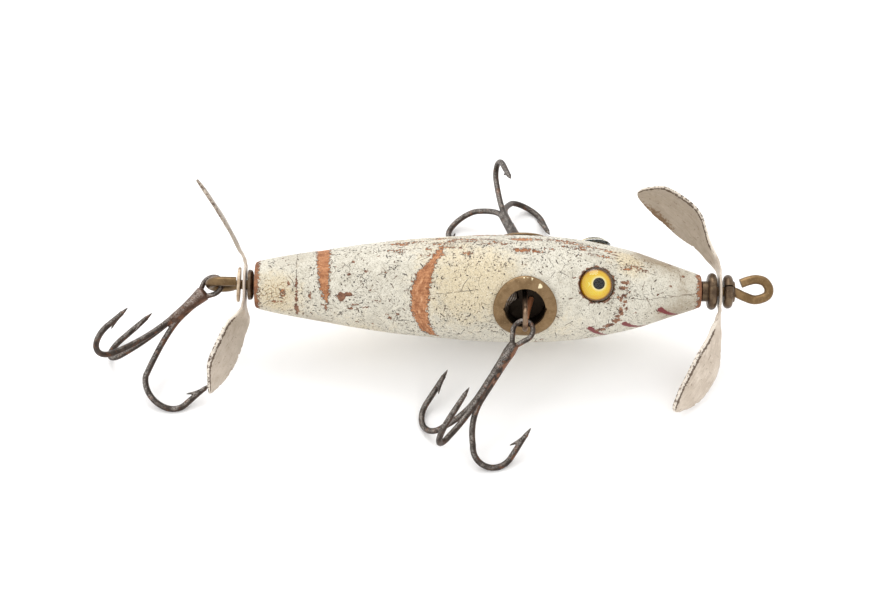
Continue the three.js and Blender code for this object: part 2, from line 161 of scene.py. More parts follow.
# Shares: the width at the neck, near the root, at the shoulder and at the tip, as shares of the widest
FRONT_BLADES = [
    dict(
        angle=-31, length=20.6, sweep=(12, 39), pitch=44, half=3.3, skew=0.36, shares=(0.42, 0.55, 0.78, 0.2),
    ),
    dict(
        angle=152, length=21.4, sweep=(35, 58), pitch=33, half=3.8, skew=0.48, shares=(0.42, 0.47, 0.82, 0.2),
    ),
]
REAR_BLADES = [
    dict(
        angle=-27, length=18.8, sweep=(-10, 47), pitch=29, half=3.5, skew=-0.85,
        shares=(0.55, 0.82, 0.8, 0.1),
    ),
    dict(
        angle=152, length=19.2, sweep=(27, 36), pitch=-4, half=3.3, skew=-0.2, shares=(0.42, 0.72, 0.78, 0.2),
    ),
]

# Treble hooks
HOOK_WIRE = 0.45
POINT_WIRE = 0.52
HOOK_EYE_RADIUS = 1.75
SHANK_OFFSET = 0.42
BEND_RADIUS, BEND_OUT, BEND_DOWN = 3.4, 6.3, 5.45
BEND_START = 150
BARB_FROM_POINT = 4.4
BARB_RISE = 1.45
SIDE_SOLDER = 2.35, 0.5, 0.92  # distance from the eye's middle, first two radii
TAIL_SOLDER = 1.5, 0.85, 1.35


@dataclass
class Point:
    """One point of a treble hook, as it differs from the plain bend."""
    turn: float  # degrees round the shank, 0 is on top
    spread: float  # stretch away from the shank
    reach: float  # stretch along the shank
    slide: float = 0  # shift along the shank
    longer: float = 0  # extra length of the straight end
    flare_start: float = 0  # where the wire leaves the shank, past the shank's end
    flare_pull: float = 3  # where the flare's corner would be if it weren't rounded


RIGHT_HOOK = dict(
    shank=12.65, heading=-128.1, in_ring=(2.1, 0.36), ring_out=10.8, solder=SIDE_SOLDER,
    points=[
        Point(-5, 0.79, 1.11, slide=0.85, flare_pull=3.9),
        Point(-121.5, 1.02, 1.04, slide=0.5, flare_pull=3.9),
        Point(117, 1.12, 1.1, longer=0.4, flare_pull=3.9),
    ],
)
LEFT_HOOK = dict(
    shank=12.65, heading=104, in_ring=(1.2, 0.17), ring_out=9.6, solder=SIDE_SOLDER,
    points=[Point(11.7, 0.76, 0.99), Point(-118.2, 1.1, 0.81), Point(123.5, 0.99, 0.93)],
)
TAIL_HOOK = dict(
    shank=11.53, heading=-141.8, in_ring=(1.55, 0.2), solder=TAIL_SOLDER,
    points=[
        Point(2.2, 1.05, 1.18, longer=-2.0, flare_start=-2.5, flare_pull=2.2),
        Point(-118.3, 1.28, 1.0, slide=-0.2, flare_start=-4.6, flare_pull=-0.9),
        Point(123.8, 0.93, 1.02, slide=0.2, longer=1.0, flare_start=-2.5, flare_pull=2.4),
    ],
)


def lure_side(name, sign, hook):
    """The places on one side, which mirror the other side's about the back."""
    eye, cup = BACK_ANGLE + sign * EYE_FROM_BACK, BACK_ANGLE + sign * CUP_FROM_BACK
    return dict(name=name, eye=eye, cup=cup, belly=sign, hook=hook)


SIDES = [lure_side("right", -1, RIGHT_HOOK), lure_side("left", 1, LEFT_HOOK)]

LENGTHWISE = np.array([1.0, 0.0, 0.0])


# Vectors and frames


def outwards(angle):
    turn = math.radians(angle)
    return np.array([0.0, -math.cos(turn), math.sin(turn)])


def onwards(angle):
    turn = math.radians(angle)
    return np.array([0.0, math.sin(turn), math.cos(turn)])


def unit(vector):
    return vector / np.linalg.norm(vector)


def smoothstep(value, low, high):
    share = np.clip((value - low) / (high - low), 0, 1)
    return share * share * (3 - 2 * share)


def basis(x_dir, y_dir, z_dir, place=(0, 0, 0)):
    matrix = np.eye(4)
    matrix[:3, 0], matrix[:3, 1], matrix[:3, 2], matrix[:3, 3] = x_dir, y_dir, z_dir, place
    return matrix


def side_frame(x, angle):
    """A frame at x on the lure's axis, with Z outwards and X along the lure."""
    return basis(LENGTHWISE, onwards(angle), outwards(angle), (x, 0, 0))


def hanger_frame(side):
    """A frame with its origin under a cup, leaning towards the belly."""
    rise = np.eye(4)
    rise[2, 3] = CUP_FLOOR
    lean = np.array(Matrix.Rotation(math.radians(-side["belly"] * HANGER_LEAN), 4, "X"))
    return side_frame(CUP_X, side["cup"]) @ rise @ lean


def moved(matrix, points):
    return np.asarray(points, float) @ matrix[:3, :3].T + matrix[:3, 3]


def around(angle, middle):
    """Degrees from a middle angle, from -180 to 180."""
    return (angle - middle + 180) % 360 - 180


def hermite(t, start, start_slope, end, end_slope):
    """A cubic from start to end, with its slopes there, for t from 0 to 1."""
    return (
        (2 * t**3 - 3 * t**2 + 1) * start + (t**3 - 2 * t**2 + t) * start_slope
        + (3 * t**2 - 2 * t**3) * end + (t**3 - t**2) * end_slope
    )


def spline(points, steps):
    """Evenly stepped points on a smooth curve through the given ones."""
    points = np.asarray(points, float)
    ends = np.concatenate([points[:1], points, points[-1:]])
    at = np.linspace(0, len(points) - 1, steps + 1)
    start = np.minimum(at.astype(int), len(points) - 2)
    a, b, c, d = (ends[start + k] for k in range(4))
    return hermite((at - start)[:, None], b, (c - a) / 2, c, (d - b) / 2)


def uneven_spline(knots, values, at):
    """Values on a smooth curve through uneven knots, heading straight from its end knots to the next."""
    gaps = np.diff(knots)
    secants = np.diff(values) / gaps
    slopes = np.concatenate([secants[:1], (secants[1:] + secants[:-1]) / 2, secants[-1:]])
    k = np.clip(np.searchsorted(knots, at, side="right") - 1, 0, len(gaps) - 1)
    gap = gaps[k]
    return hermite((at - knots[k]) / gap, values[k], slopes[k] * gap, values[k + 1], slopes[k + 1] * gap)


OUTLINE = spline(BODY_OUTLINE, 400)


def body_radius(x):
    return np.interp(x, OUTLINE[:, 0], OUTLINE[:, 1])


# Meshes, as arrays of points and lists of faces


def skin(rings, closed=False):
    """A skin over rings of points, capped at both ends unless it closes on itself, facing outwards."""
    rings = np.asarray(rings, float)
    points = rings.reshape(-1, 3)
    grid = np.arange(len(points)).reshape(rings.shape[:2])
    here, there = (grid, np.roll(grid, -1, 0)) if closed else (grid[:-1], grid[1:])
    quads = np.stack([here, there, np.roll(there, -1, 1), np.roll(here, -1, 1)], 2).reshape(-1, 4)
    groups = [quads] if closed else [quads, np.stack([grid[0], grid[-1, ::-1]])]
    volume = 0
    for group in groups:
        spread = points[group] - points.mean(0)
        volume += np.sum(spread.mean(1) * np.cross(spread, np.roll(spread, -1, 1)).sum(1))
    return points, [face if volume > 0 else face[::-1] for group in groups for face in group.tolist()]


def circle(radius, sides):
    """Points round a circle, as pairs."""
    turns = np.arange(sides) * 2 * math.pi / sides
    return np.stack([radius * np.cos(turns), radius * np.sin(turns)], 1)


def tube(path, radii, sides):
    """A round tube along a path, with one radius or a radius at each point."""
    path = np.asarray(path, float)
    runs = np.gradient(path, axis=0)
    runs /= np.linalg.norm(runs, axis=1)[:, None]
    side = unit(np.cross(runs[0], [0.31, 0.47, 0.83]))
    rings = []
    for middle, run, radius in zip(path, runs, np.broadcast_to(radii, len(path))):
        side = unit(side - run * (side @ run))
        rings.append(middle + circle(radius, sides) @ [side, np.cross(run, side)])
    return skin(rings)


def lathe(profile, sides, matrix=None, span=None):
    """A closed loop of x and radius turned about the X axis, all the way round or over a span."""
    turns = np.arange(sides) * 2 * math.pi / sides if span is None else np.linspace(*span, sides)
    rings = [[(x, -r * math.cos(t), r * math.sin(t)) for x, r in profile] for t in turns]
    points, faces = skin(rings, closed=span is None)
    return (points if matrix is None else moved(matrix, points)), faces


def placed(name, data):
    """A new object in the scene."""
    obj = bpy.data.objects.new(name, data)
    bpy.context.scene.collection.objects.link(obj)
    return obj


def mesh_object(name, points, faces):
    mesh = bpy.data.meshes.new(name)
    mesh.from_pydata(np.asarray(points).tolist(), [], faces)
    return placed(name, mesh)


def modified(obj, others=()):
    """The object's mesh with its modifiers applied, as points and faces. The objects are then removed."""
    bpy.context.view_layer.update()
    shaped = obj.evaluated_get(bpy.context.evaluated_depsgraph_get()).to_mesh()
    points = np.empty(len(shaped.vertices) * 3)
    shaped.vertices.foreach_get("co", points)
    faces = [tuple(face.vertices) for face in shaped.polygons]
    for done in (obj, *others):
        mesh = done.data
        bpy.data.objects.remove(done)
        bpy.data.meshes.remove(mesh)
    return points.reshape(-1, 3), faces


def cut(mesh_data, *cutters):
    """The mesh less each cutter."""
    obj = mesh_object("draft", *mesh_data)
    tools = [mesh_object("cutter", *cutter) for cutter in cutters]
    for tool in tools:
        step = obj.modifiers.new("cut", "BOOLEAN")
        step.operation, step.solver, step.object = "DIFFERENCE", "EXACT", tool
    return modified(obj, tools)


def weld(voxel, smoothing, meshes):
    """Overlapping closed meshes fused into one skin, with soft fillets where they meet."""
    points, faces = [], []
    for some_points, some_faces in meshes:
        faces += [[k + len(points) for k in face] for face in some_faces]
        points += some_points.tolist()
    obj = mesh_object("draft", points, faces)
    remesh = obj.modifiers.new("fuse", "REMESH")
    remesh.mode, remesh.voxel_size, remesh.adaptivity = "VOXEL", voxel, 0
    smooth = obj.modifiers.new("smooth", "SMOOTH")
    smooth.factor, smooth.iterations = 0.5, smoothing
    return modified(obj)


def piece(name, mesh_data, material, body="lure", stands_for=(), sharp=38):
    """A finished piece that rides on a body and takes the place of CAD nodes."""
    points, faces = mesh_data
    obj = mesh_object(name, np.asarray(points) * MM + origin_m, faces)
    obj.data.polygons.foreach_set("use_smooth", [True] * len(faces))
    obj.data.set_sharp_from_angle(angle=math.radians(sharp))
    obj.data.materials.append(material)
    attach(obj, body)
    if stands_for:
        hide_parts(*stands_for)
    return obj


def write_fields(obj, **fields):
    """Gives each point of a piece the numbers that its finish can use."""
    for name, values in fields.items():
        layer = obj.data.attributes.new(name, "FLOAT", "POINT")
        layer.data.foreach_set("value", np.asarray(values, np.float32))


def cylinder(radius, low, high, matrix, sides):
    """A cylinder along a frame's Z axis."""
    rings = [np.column_stack([circle(radius, sides), np.full(sides, z)]) for z in (low, high)]
    return skin([moved(matrix, ring) for ring in rings])


# Shader nodes


def linear(colour):
    """A colour as seen on screen, 0 to 255, as shaders take it. A node's colour is given back as it is."""
    if not isinstance(colour, tuple):
        return colour
    shares = [value / 255 for value in colour]
    return (*(v / 12.92 if v <= 0.04045 else ((v + 0.055) / 1.055) ** 2.4 for v in shares), 1.0)


class Num:
    """A number in a shader's node tree that can be used in sums."""

    def __init__(self, finish, socket):
        self.finish = finish
        self.socket = socket

    def __add__(self, other):
        return self.finish.calc("ADD", self, other)

    __radd__ = __add__

    def __sub__(self, other):
        return self.finish.calc("SUBTRACT", self, other)

    def __rsub__(self, other):
        return self.finish.calc("SUBTRACT", other, self)

    def __mul__(self, other):
        return self.finish.calc("MULTIPLY", self, other)

    __rmul__ = __mul__

    def __truediv__(self, other):
        return self.finish.calc("DIVIDE", self, other)

    def __abs__(self):
        return self.finish.calc("ABSOLUTE", self)

    def step(self, low, high):
        """0 up to low and 1 from high, with a smooth rise between."""
        inputs = {"Value": self, "From Min": low, "From Max": high}
        node = self.finish.node("MapRange", inputs, interpolation_type="SMOOTHSTEP")
        return Num(self.finish, node.outputs[0])


class Finish:
    """A material's node tree, with short calls for the nodes that finishes are made of."""

    def __init__(self, name):
        self.material = bpy.data.materials.new(name)
        self.material.use_nodes = True
        self.tree = self.material.node_tree
        self.tree.nodes.clear()
        self.surface = self.tree.nodes.new("ShaderNodeBsdfPrincipled")
        output = self.tree.nodes.new("ShaderNodeOutputMaterial")
        self.tree.links.new(self.surface.outputs["BSDF"], output.inputs["Surface"])
        from_object = self.node("TexCoord").outputs["Object"]
        centred = self.vector_math("SUBTRACT", from_object, tuple(origin_m))
        self.place = self.vector_math("SCALE", centred, 1 / MM)
        self.x, self.y, self.z = self.split(self.place)

    def node(self, kind, inputs=None, **settings):
        made = self.tree.nodes.new("ShaderNode" + kind)
        for key, value in settings.items():
            setattr(made, key, value)
        for key, value in (inputs or {}).items():
            self.feed(made.inputs[key], value)
        return made

    def feed(self, socket, value):
        value = value.socket if isinstance(value, Num) else value
        if isinstance(value, bpy.types.NodeSocket):
            self.tree.links.new(value, socket)
        else:
            socket.default_value = value

    def calc(self, operation, first, second=0.0):
        return Num(self, self.node("Math", {0: first, 1: second}, operation=operation).outputs[0])

    def vector_math(self, operation, first, second):
        key = "Scale" if operation == "SCALE" else 1
        return self.node("VectorMath", {0: first, key: second}, operation=operation).outputs[0]

    def split(self, vector):
        outputs = self.node("SeparateXYZ", {0: vector}).outputs
        return [Num(self, outputs[k]) for k in range(3)]

    def vector(self, x, y, z=0.0):
        return self.node("CombineXYZ", {0: x, 1: y, 2: z}).outputs[0]

    def noise(self, size, detail=3.0, roughness=0.55, where=None, shift=0.0):
        """Cloudy noise from 0 to 1 with features of about that size in millimetres."""
        where = self.place if where is None else where
        if shift:
            where = self.vector_math("ADD", where, (shift, -shift, 0.7 * shift))
        inputs = {"Vector": where, "Scale": 1 / size, "Detail": detail, "Roughness": roughness}
        return Num(self, self.node("TexNoise", inputs).outputs[0])

    def stretched(self, along, across):
        """The place with other scales along the lure and across it."""
        return self.vector_math("MULTIPLY", self.place, (1 / along, 1 / across, 1 / across))

    def attribute(self, name):
        return Num(self, self.node("Attribute", attribute_name=name).outputs["Fac"])

    def most(self, *numbers):
        """The greatest of some numbers."""
        result = numbers[0]
        for number in numbers[1:]:
            result = self.calc("MAXIMUM", result, number)
        return result

    def mix(self, first, second, share):
        inputs = {0: share, 6: linear(first), 7: linear(second)}
        return self.node("Mix", inputs, data_type="RGBA").outputs[2]

    def coats(self, colour, *coats):
        """A colour with coats over it, each a colour and its share."""
        for coat, share in coats:
            colour = self.mix(colour, coat, share)
        return colour

    def specks(self, spacing, radius, share):
        """Round specks: 1 on a speck and 0 beside it."""
        cells = self.node("TexVoronoi", {"Vector": self.place, "Scale": 1 / spacing})
        size, chance, _ = self.split(cells.outputs["Color"])
        reach = size * (radius / spacing)
        spot = (reach - Num(self, cells.outputs["Distance"])).step(0, 0.25 * radius / spacing)
        return spot * (share - chance).step(0, 0.01)

    def strokes(self, flat, spacing, length, width, spread=math.pi, curl=0.0, share=1.0, shift=0.0):
        """Short scratches on a flat pair of coordinates: 1 on a scratch and 0 beside it."""
        where = self.vector_math("ADD", flat, (shift, 2 * shift, 0.0))
        inputs = {"Vector": where, "Scale": 1 / spacing}
        cells = self.node("TexVoronoi", inputs, voronoi_dimensions="2D")
        off_x, off_y, _ = self.split(self.vector_math("SUBTRACT", where, cells.outputs["Position"]))
        turn_share, size, chance = self.split(cells.outputs["Color"])
        turn = (turn_share - 0.5) * (2 * spread)
        cosine, sine = self.calc("COSINE", turn), self.calc("SINE", turn)
        along = off_x * cosine + off_y * sine
        across = off_y * cosine - off_x * sine + along * along * ((size - 0.5) * curl)
        half = length / 2 * (size * 0.8 + 0.2)
        near = (half - abs(along)).step(0, length / 4)
        thin = (near * width - abs(across)).step(0, width * 0.5)
        return thin * (share - chance).step(0, 0.01)

    def line(self, flat, start, end, half):
        """A thin line on the flat coordinates between two places, each an x, an angle and a radius."""
        (x1, y1), (x2, y2) = ((x, math.radians(angle - 90) * radius) for x, angle, radius in (start, end))
        length = math.hypot(x2 - x1, y2 - y1)
        run_x, run_y = (x2 - x1) / length, (y2 - y1) / length
        off_x, off_y, _ = self.split(self.vector_math("SUBTRACT", flat, (x1, y1, 0.0)))
        along = off_x * run_x + off_y * run_y
        wobble = (self.noise(1.4, 2, shift=x1) - 0.5) * 0.5
        across = abs(off_y * run_x - off_x * run_y + wobble)
        return (half - across).step(0, half * 0.6) * (length / 2 - abs(along - length / 2)).step(0, 0.3)

    def bump(self, height, depth):
        """Relief from a height of 0 to 1, depth millimetres high."""
        return self.node("Bump", {"Height": height, "Distance": depth * MM, "Strength": 0.8}).outputs[0]

    def done(self, **inputs):
        """Sets the shader's inputs, such as base_color or specular_ior_level, and gives the material."""
        for key, value in inputs.items():
            name = key.replace("_", " ").title().replace("Ior", "IOR")
            self.feed(self.surface.inputs[name], value)
        return self.material


# Finishes

# Layers of scratches: spacing, length, width, curl, share of places, shift and strength away from busy places
SCRATCHES = [
    (1.9, 1.5, 0.13, 0.9, 0.48, 17, 0.7),
    (1.25, 0.9, 0.12, 1.3, 0.57, 13, 0.32),
    (0.85, 0.5, 0.12, 1.4, 0.55, 29, 0.1),
]
# Long scratches: the x, angle and radius of both ends, and the half width
LONG_SCRATCHES = [
    ((57.0, 35, 7.95), (66.5, 31, 5.8), 0.045), ((66.5, 31, 5.8), (75.7, 41, 2.9), 0.045),
    ((32.0, 41, 8.7), (38.4, 46, 9.0), 0.07), ((18.0, 52, 7.2), (25.0, 75, 8.1), 0.05),
]
RING_MARK_X = 7.25
END_GRAIN = 1.1  # how far the dark end grain reaches from each face of the wood


def bare_wood(f, grain):
    """Orange-brown wood, streaked along its grain and across the worn band, darker at both ends."""
    swept = f.noise(1.0, 4, 0.7, where=f.vector(f.attribute("swept") * 5, f.z * 0.5, f.y * 0.5))
    near_end = f.most((END_GRAIN - f.x).step(0, 0.6), (f.x - (BODY_LENGTH - END_GRAIN)).step(0, 0.6))
    return f.coats(
        f.mix((134, 82, 50), (188, 132, 92), (grain * 0.45 + swept * 0.55).step(0.36, 0.62)),
        ((214, 166, 128), swept.step(0.56, 0.68) * 0.7),
        ((92, 52, 34), f.noise(0.5, 4, 0.7).step(0.56, 0.7) * 0.8),
        ((226, 172, 124), f.noise(0.3, 3, 0.7, shift=61).step(0.56, 0.7) * 0.6),
        ((112, 74, 54), near_end * (f.noise(0.9, 3, shift=71).step(0.3, 0.6) * 0.35 + 0.45)),
    )


def aged_paint(f, patch, lint):
    """Off-white paint, cloudy, yellowed in patches and gritty."""
    sand = f.noise(0.2, 3, 0.7, shift=31)
    return f.coats(
        f.mix((190, 184, 168), (210, 205, 190), (f.noise(6.0, 4, 0.6) * 0.4 + patch * 0.6).step(0.36, 0.6)),
        ((206, 188, 150), (f.attribute("cream") + (patch - 0.5) * 1.4).step(0.25, 1.1) * 0.7),
        ((150, 141, 123), lint.step(0.53, 0.7) * 0.8),
        ((98, 88, 74), sand.step(0.54, 0.7) * 0.85),
        ((236, 232, 220), sand.step(0.46, 0.28) * 0.75),
    )


def cracks(f, flat, lint):
    """Hairlines over the whole paint, and the close net where it is crazed."""
    net = f.vector_math("ADD", flat, f.node("TexNoise", {"Vector": f.place, "Scale": 0.7}).outputs["Color"])

    def seams(scale, half):
        shape = dict(feature="DISTANCE_TO_EDGE", voronoi_dimensions="2D")
        cells = f.node("TexVoronoi", {"Vector": net, "Scale": scale}, **shape)
        return half - Num(f, cells.outputs[0])
    hairlines = seams(0.5, 0.02).step(0, 0.012) * f.noise(2.2, 3, shift=5).step(0.56, 0.61)
    crazed = f.attribute("crazed") + (lint - 0.5) * 3
    return hairlines, seams(1.1, 0.08).step(0, 0.05) * crazed.step(0.5, 0.9)


def dark_marks(f, flat, dense, patch, hairlines):
    """Hairlines, short and long scratches, and the dark ring near the tail."""
    marks = [hairlines, f.strokes(flat, 3.0, 3.2, 0.06, spread=1.6, curl=0.3, share=0.55)]
    for spacing, length, width, curl, share, shift, everywhere in SCRATCHES:
        layer = f.strokes(flat, spacing, length, width, curl=curl, share=share, shift=shift)
        rough_edge = f.noise(0.25, 2, shift=shift).step(0.32, 0.42)
        marks.append(layer * rough_edge * (dense + everywhere).step(0.3, 0.7))
    for start, end, half in LONG_SCRATCHES:
        marks.append(f.line(flat, start, end, half) * f.noise(0.8, 2).step(0.36, 0.46))
    off_ring = abs(f.x - RING_MARK_X + (patch - 0.5) * 0.5)
    marks.append((0.07 - off_ring).step(0, 0.05) * f.noise(0.9, 3, shift=3).step(0.44, 0.5))
    return f.most(*marks)


def painted_wood():
    """Old off-white paint, scratched and worn through to orange-brown wood."""
    f = Finish("painted_wood")
    radius = f.calc("SQRT", f.y * f.y + f.z * f.z)
    flat = f.vector(f.x, f.calc("ARCTAN2", f.y, f.z) * radius)
    fine = (f.noise(0.42, 3, 0.75) - 0.5) * 2.3
    bare_depth = f.attribute("bare") + fine
    bare = bare_depth.step(-0.02, 0.05)
    stain = (f.attribute("stain") + fine * 0.45).step(-0.02, 0.05)
    fringe = (bare_depth + 0.42).step(0, 0.4) * f.noise(0.36, 3, 0.7, shift=23).step(0.53, 0.57)
    red = (f.attribute("red") + fine * 0.3).step(-0.05, 0.1)
    # A thin dark line round each bare patch: partly primer, partly painted shade at the paint's step.
    edge = (0.15 - abs(bare_depth)).step(0, 0.1) * f.noise(0.9, 2, shift=2).step(0.36, 0.48)

    grain = f.noise(1.0, 5, 0.65, where=f.stretched(3.0, 0.28))
    patch = f.noise(1.4, 4, 0.65, shift=11)
    lint = f.noise(0.45, 4, 0.7, shift=37)
    hairlines, crack_net = cracks(f, flat, lint)
    dense = (f.attribute("busy") * 0.6 + f.noise(3.2, 3, shift=57) * 2.4 - 1.25).step(-0.1, 0.4)
    marks = dark_marks(f, flat, dense, patch, hairlines)
    flecks = (f.noise(0.42, 4, 0.75, shift=83) + dense * 0.06 - 0.01).step(0.625, 0.655)
    flecks = f.most(flecks, f.specks(0.9, 0.18, 0.6))
    rust = f.noise(0.9, 4, 0.75, shift=91).step(0.68, 0.7)
    tone = f.mix((36, 29, 26), (98, 76, 60), f.noise(1.1, 2).step(0.44, 0.62))
    worn = f.mix((88, 56, 42), (142, 100, 74), f.noise(0.7, 3).step(0.35, 0.65))
    colour = f.coats(
        aged_paint(f, patch, lint),
        ((134, 98, 52), crack_net * 0.85),
        (tone, marks * 0.95),
        (tone, flecks * 0.95),
        ((124, 78, 56), rust * 0.9),
        # Brown-grey dirt, and painted shade under the chin and along the lower sides.
        ((132, 112, 84), (f.attribute("grimy") + (patch - 0.5) * 1.6).step(0.2, 1.3) * 0.8),
        ((112, 26, 34), red * 0.95),
        ((72, 46, 34), fringe * 0.9),
        (worn, stain),
        (bare_wood(f, grain), bare),
        # Dark line round bare patches, partly painted shade.
        ((74, 48, 38), edge * 0.8),
        ((112, 80, 54), (f.attribute("inner") - 0.5).step(0, 0.1)),
    )
    level = 1 - bare * 0.7 - stain * 0.4 - marks * 0.4 - flecks * 0.4 - rust * 0.3 + lint * 0.15
    normal = f.bump(level + bare * grain * 0.5, 0.07)
    rough = bare * 0.3 + 0.45 + marks * 0.2
    return f.done(base_color=colour, roughness=rough, normal=normal, specular_ior_level=0.35)


def worn_plate(f, colour, fine):
    """Brushed nickel with a painted highlight along its lit rim, scratched, greyed with some painted shade,
    chipped and rusty where its fields say so.
    """
    flat = f.vector(f.attribute("along"), f.attribute("across"))
    brushed = f.noise(1.0, 4, 0.7, where=f.vector_math("MULTIPLY", flat, (0.35, 3.2, 1.0)))
    wavy = (f.noise(1.6, 3, shift=2) - 0.5) * 0.8
    ragged = (f.noise(0.5, 4, 0.75, shift=4) - 0.5) * 3.4
    return f.coats(
        colour,
        ((168, 152, 134), brushed.step(0.52, 0.68) * 0.6),
        ((228, 218, 204), brushed.step(0.46, 0.32) * 0.5),
        # Painted highlight along the lit rim.
        ((234, 225, 212), (f.attribute("rim") + wavy).step(0.3, 0.9) * 0.7),
        ((120, 102, 84), f.strokes(flat, 1.9, 1.8, 0.07, spread=0.5, share=0.45, shift=3) * 0.75),
        # Greyer tone, partly wear and partly painted shade on the upper blades.
        ((150, 138, 124), f.attribute("shade_and_dull")),
        ((78, 58, 42), (f.attribute("chipped") + ragged).step(0.45, 0.65) * 0.9),
        ((122, 94, 66), (f.attribute("rusty") + (fine - 0.5) * 2.5).step(0.4, 0.85) * 0.85),
    )


def metal(name, *tones, size, rough, metallic=0.85, shift=0, spots=None, pits=0.02, plated=False, matt=None):
    """Old metal in four tones, with painted shade and painted highlights where its fields ask. Its spots are
    a size, a threshold and a colour.
    """
    f = Finish(name)
    fine = f.noise(size * 0.2, 4, 0.7, shift=shift + 9)
    grit = f.noise(0.22, 3, 0.7, shift=shift + 15)
    colour = f.coats(
        f.mix(tones[0], tones[1], f.noise(size, 4, 0.6, shift=shift).step(0.36, 0.64)),
        (tones[2], fine.step(0.54, 0.7) * 0.8),
        (tones[3], grit.step(0.6, 0.74) * 0.8),
    )
    if spots:
        spot_size, threshold, tone = spots
        spotted = f.noise(spot_size, 4, 0.7, shift=shift + 21).step(threshold, threshold + 0.05)
        colour = f.mix(colour, tone, spotted)
    if plated:
        colour = worn_plate(f, colour, fine)
    colour = f.coats(
        colour,
        ((172, 112, 76), f.attribute("rusted")),
        # Painted highlight from a field: on the lit thread crests in the cups and on the hooks' faces turned
        # to the light.
        ((232, 224, 215), f.attribute("bright") * (fine * 0.3 + grit * 0.7).step(0.4, 0.6)),
        # Painted shade from a field: deep in the cups, low on the hangers, and evenly over the tail eye.
        ((30, 25, 21), f.attribute("grime") * 0.93),
        ((240, 226, 190), (f.attribute("fleck") + (grit - 0.5) * 0.8).step(0.45, 0.55)),
    )
    if matt:
        metallic = metallic - f.attribute(matt) * (0.85 * metallic)
    normal = f.bump(fine + grit * 0.5, pits)
    return f.done(base_color=colour, roughness=fine * 0.25 + (rough - 0.1), normal=normal, metallic=metallic)


def clear_glass():
    f = Finish("clear_glass")
    return f.done(base_color=(1, 1, 1, 1), roughness=0.02, transmission_weight=1.0, ior=1.5)


def iris_paint():
    """Yellow with a black pupil, as painted behind the glass."""
    f = Finish("iris_paint")
    off, pupil = f.attribute("from_middle") / IRIS_RADIUS, f.attribute("from_pupil")
    colour = f.coats(
        f.mix((255, 222, 72), (250, 196, 44), (off + (f.noise(0.8, 3) - 0.5) * 0.3).step(0.5, 1.0)),
        ((255, 240, 178), (pupil / PUPIL_RADIUS).step(1.5, 1.0)),
        ((150, 96, 30), off.step(0.88, 1.0)),
        ((92, 70, 42), off.step(1.0, 1.05)),
        # Painted shade over the upper part of the far eye's iris.
        ((50, 54, 46), f.attribute("shaded")),
        ((5, 5, 5), (PUPIL_RADIUS - pupil).step(-0.03, 0.03)),
    )
    return f.done(base_color=colour, roughness=0.6, specular_ior_level=0.05)


PAINTED_WOOD = painted_wood()
AGED_BRASS = metal(
    "aged_brass", (138, 112, 78), (112, 88, 58), (150, 126, 94), (92, 70, 46), size=1.6, rough=0.4,
)
CUP_BRASS = metal(
    "cup_brass", (137, 112, 81), (119, 95, 66), (151, 128, 95), (100, 77, 52), size=1.6, rough=0.42,
    # Less metallic where the painted highlights lie on the thread crests.
    shift=12, matt="bright", spots=(1.5, 0.71, (226, 212, 178)),
)
DARK_BRASS = metal(
    "dark_brass", (108, 90, 70), (78, 62, 48), (128, 108, 84), (58, 42, 30), size=1.2, rough=0.36, shift=40,
)
HANGER_STEEL = metal(
    "hanger_steel", (136, 114, 94), (104, 82, 64), (160, 138, 116), (90, 62, 42), size=1.2, rough=0.4,
    shift=44, matt="rusted",
)
PLATED_BRASS = metal(
    "plated_brass", (206, 188, 166), (176, 152, 124), (220, 204, 184), (130, 100, 70), size=1.4, rough=0.4,
    metallic=0.6, shift=48, spots=(0.9, 0.62, (118, 92, 66)),
)
NICKEL = metal(
    "worn_nickel", (206, 193, 178), (190, 176, 160), (218, 206, 192), (160, 142, 124), size=2.2, rough=0.42,
    metallic=0.5, shift=70, spots=(0.6, 0.69, (112, 92, 72)), pits=0.04, plated=True,
)
STEEL = metal(
    "blackened_steel", (67, 58, 52), (48, 41, 36), (90, 80, 72), (36, 29, 25), size=0.9, rough=0.42,
    metallic=0.75, shift=90, spots=(1.3, 0.57, (92, 64, 48)), pits=0.05, matt="rusted",
)
GLASS = clear_glass()
IRIS = iris_paint()


# Wooden body

# Worn places on the paint. Each row is an angle round the body and the x of the two edges there.
HOOK_RASH = [
    (101, 31.4, 32.2), (88, 30.5, 31.6), (79, 29.5, 30.9), (65, 27.8, 30.3), (46, 26.7, 29.8),
    (19, 26.8, 29.5), (4, 27.6, 29.7), (-14, 28.6, 30.5), (-27, 31.0, 31.4),
]
WORN_BAND = [
    (215, 11.5, 11.6), (136, 10.4, 12.7), (90, 10.7, 12.9), (60, 11.1, 12.8),
    (40, 11.5, 12.8), (30, 11.8, 12.9), (20, 12.3, 12.5),
]
# Worn spots: x, angle, half length along the lure, half length round it
BARE_SPOTS = [
    (45.6, 114, 2.0, 0.5), (45.4, 93, 1.3, 0.4), (47.6, 92, 0.6, 0.25), (31.6, 122, 1.2, 0.35),
    (34.2, 117, 0.9, 0.3), (40.5, 130, 3.2, 0.4), (49.3, 133, 1.6, 0.3), (51.8, 116, 1.0, 0.25),
    (26.5, 114, 1.1, 0.2), (36.2, 88, 0.5, 0.3), (64.6, 84, 0.9, 0.13), (63.4, 79, 0.6, 0.1),
    (4.9, 33, 0.35, 0.5),
]
# Soft spots: x, angle, reach, strength
BUSY_SPOTS = [  # thickly scratched, or cleaner than elsewhere where negative
    (22, 118, 6, 0.8), (38, 108, 6, 0.9), (48, 100, 5, 0.7), (12, 110, 4, 0.6), (18, 30, 4, 0.6),
    (11, 15, 4, 0.7), (62, 45, 4, 0.7), (56, 95, 5, 0.5), (30, -20, 8, 0.6), (28, 60, 4, -0.5),
    (52, 30, 5, -0.3), (70, 30, 4, -0.4),
]
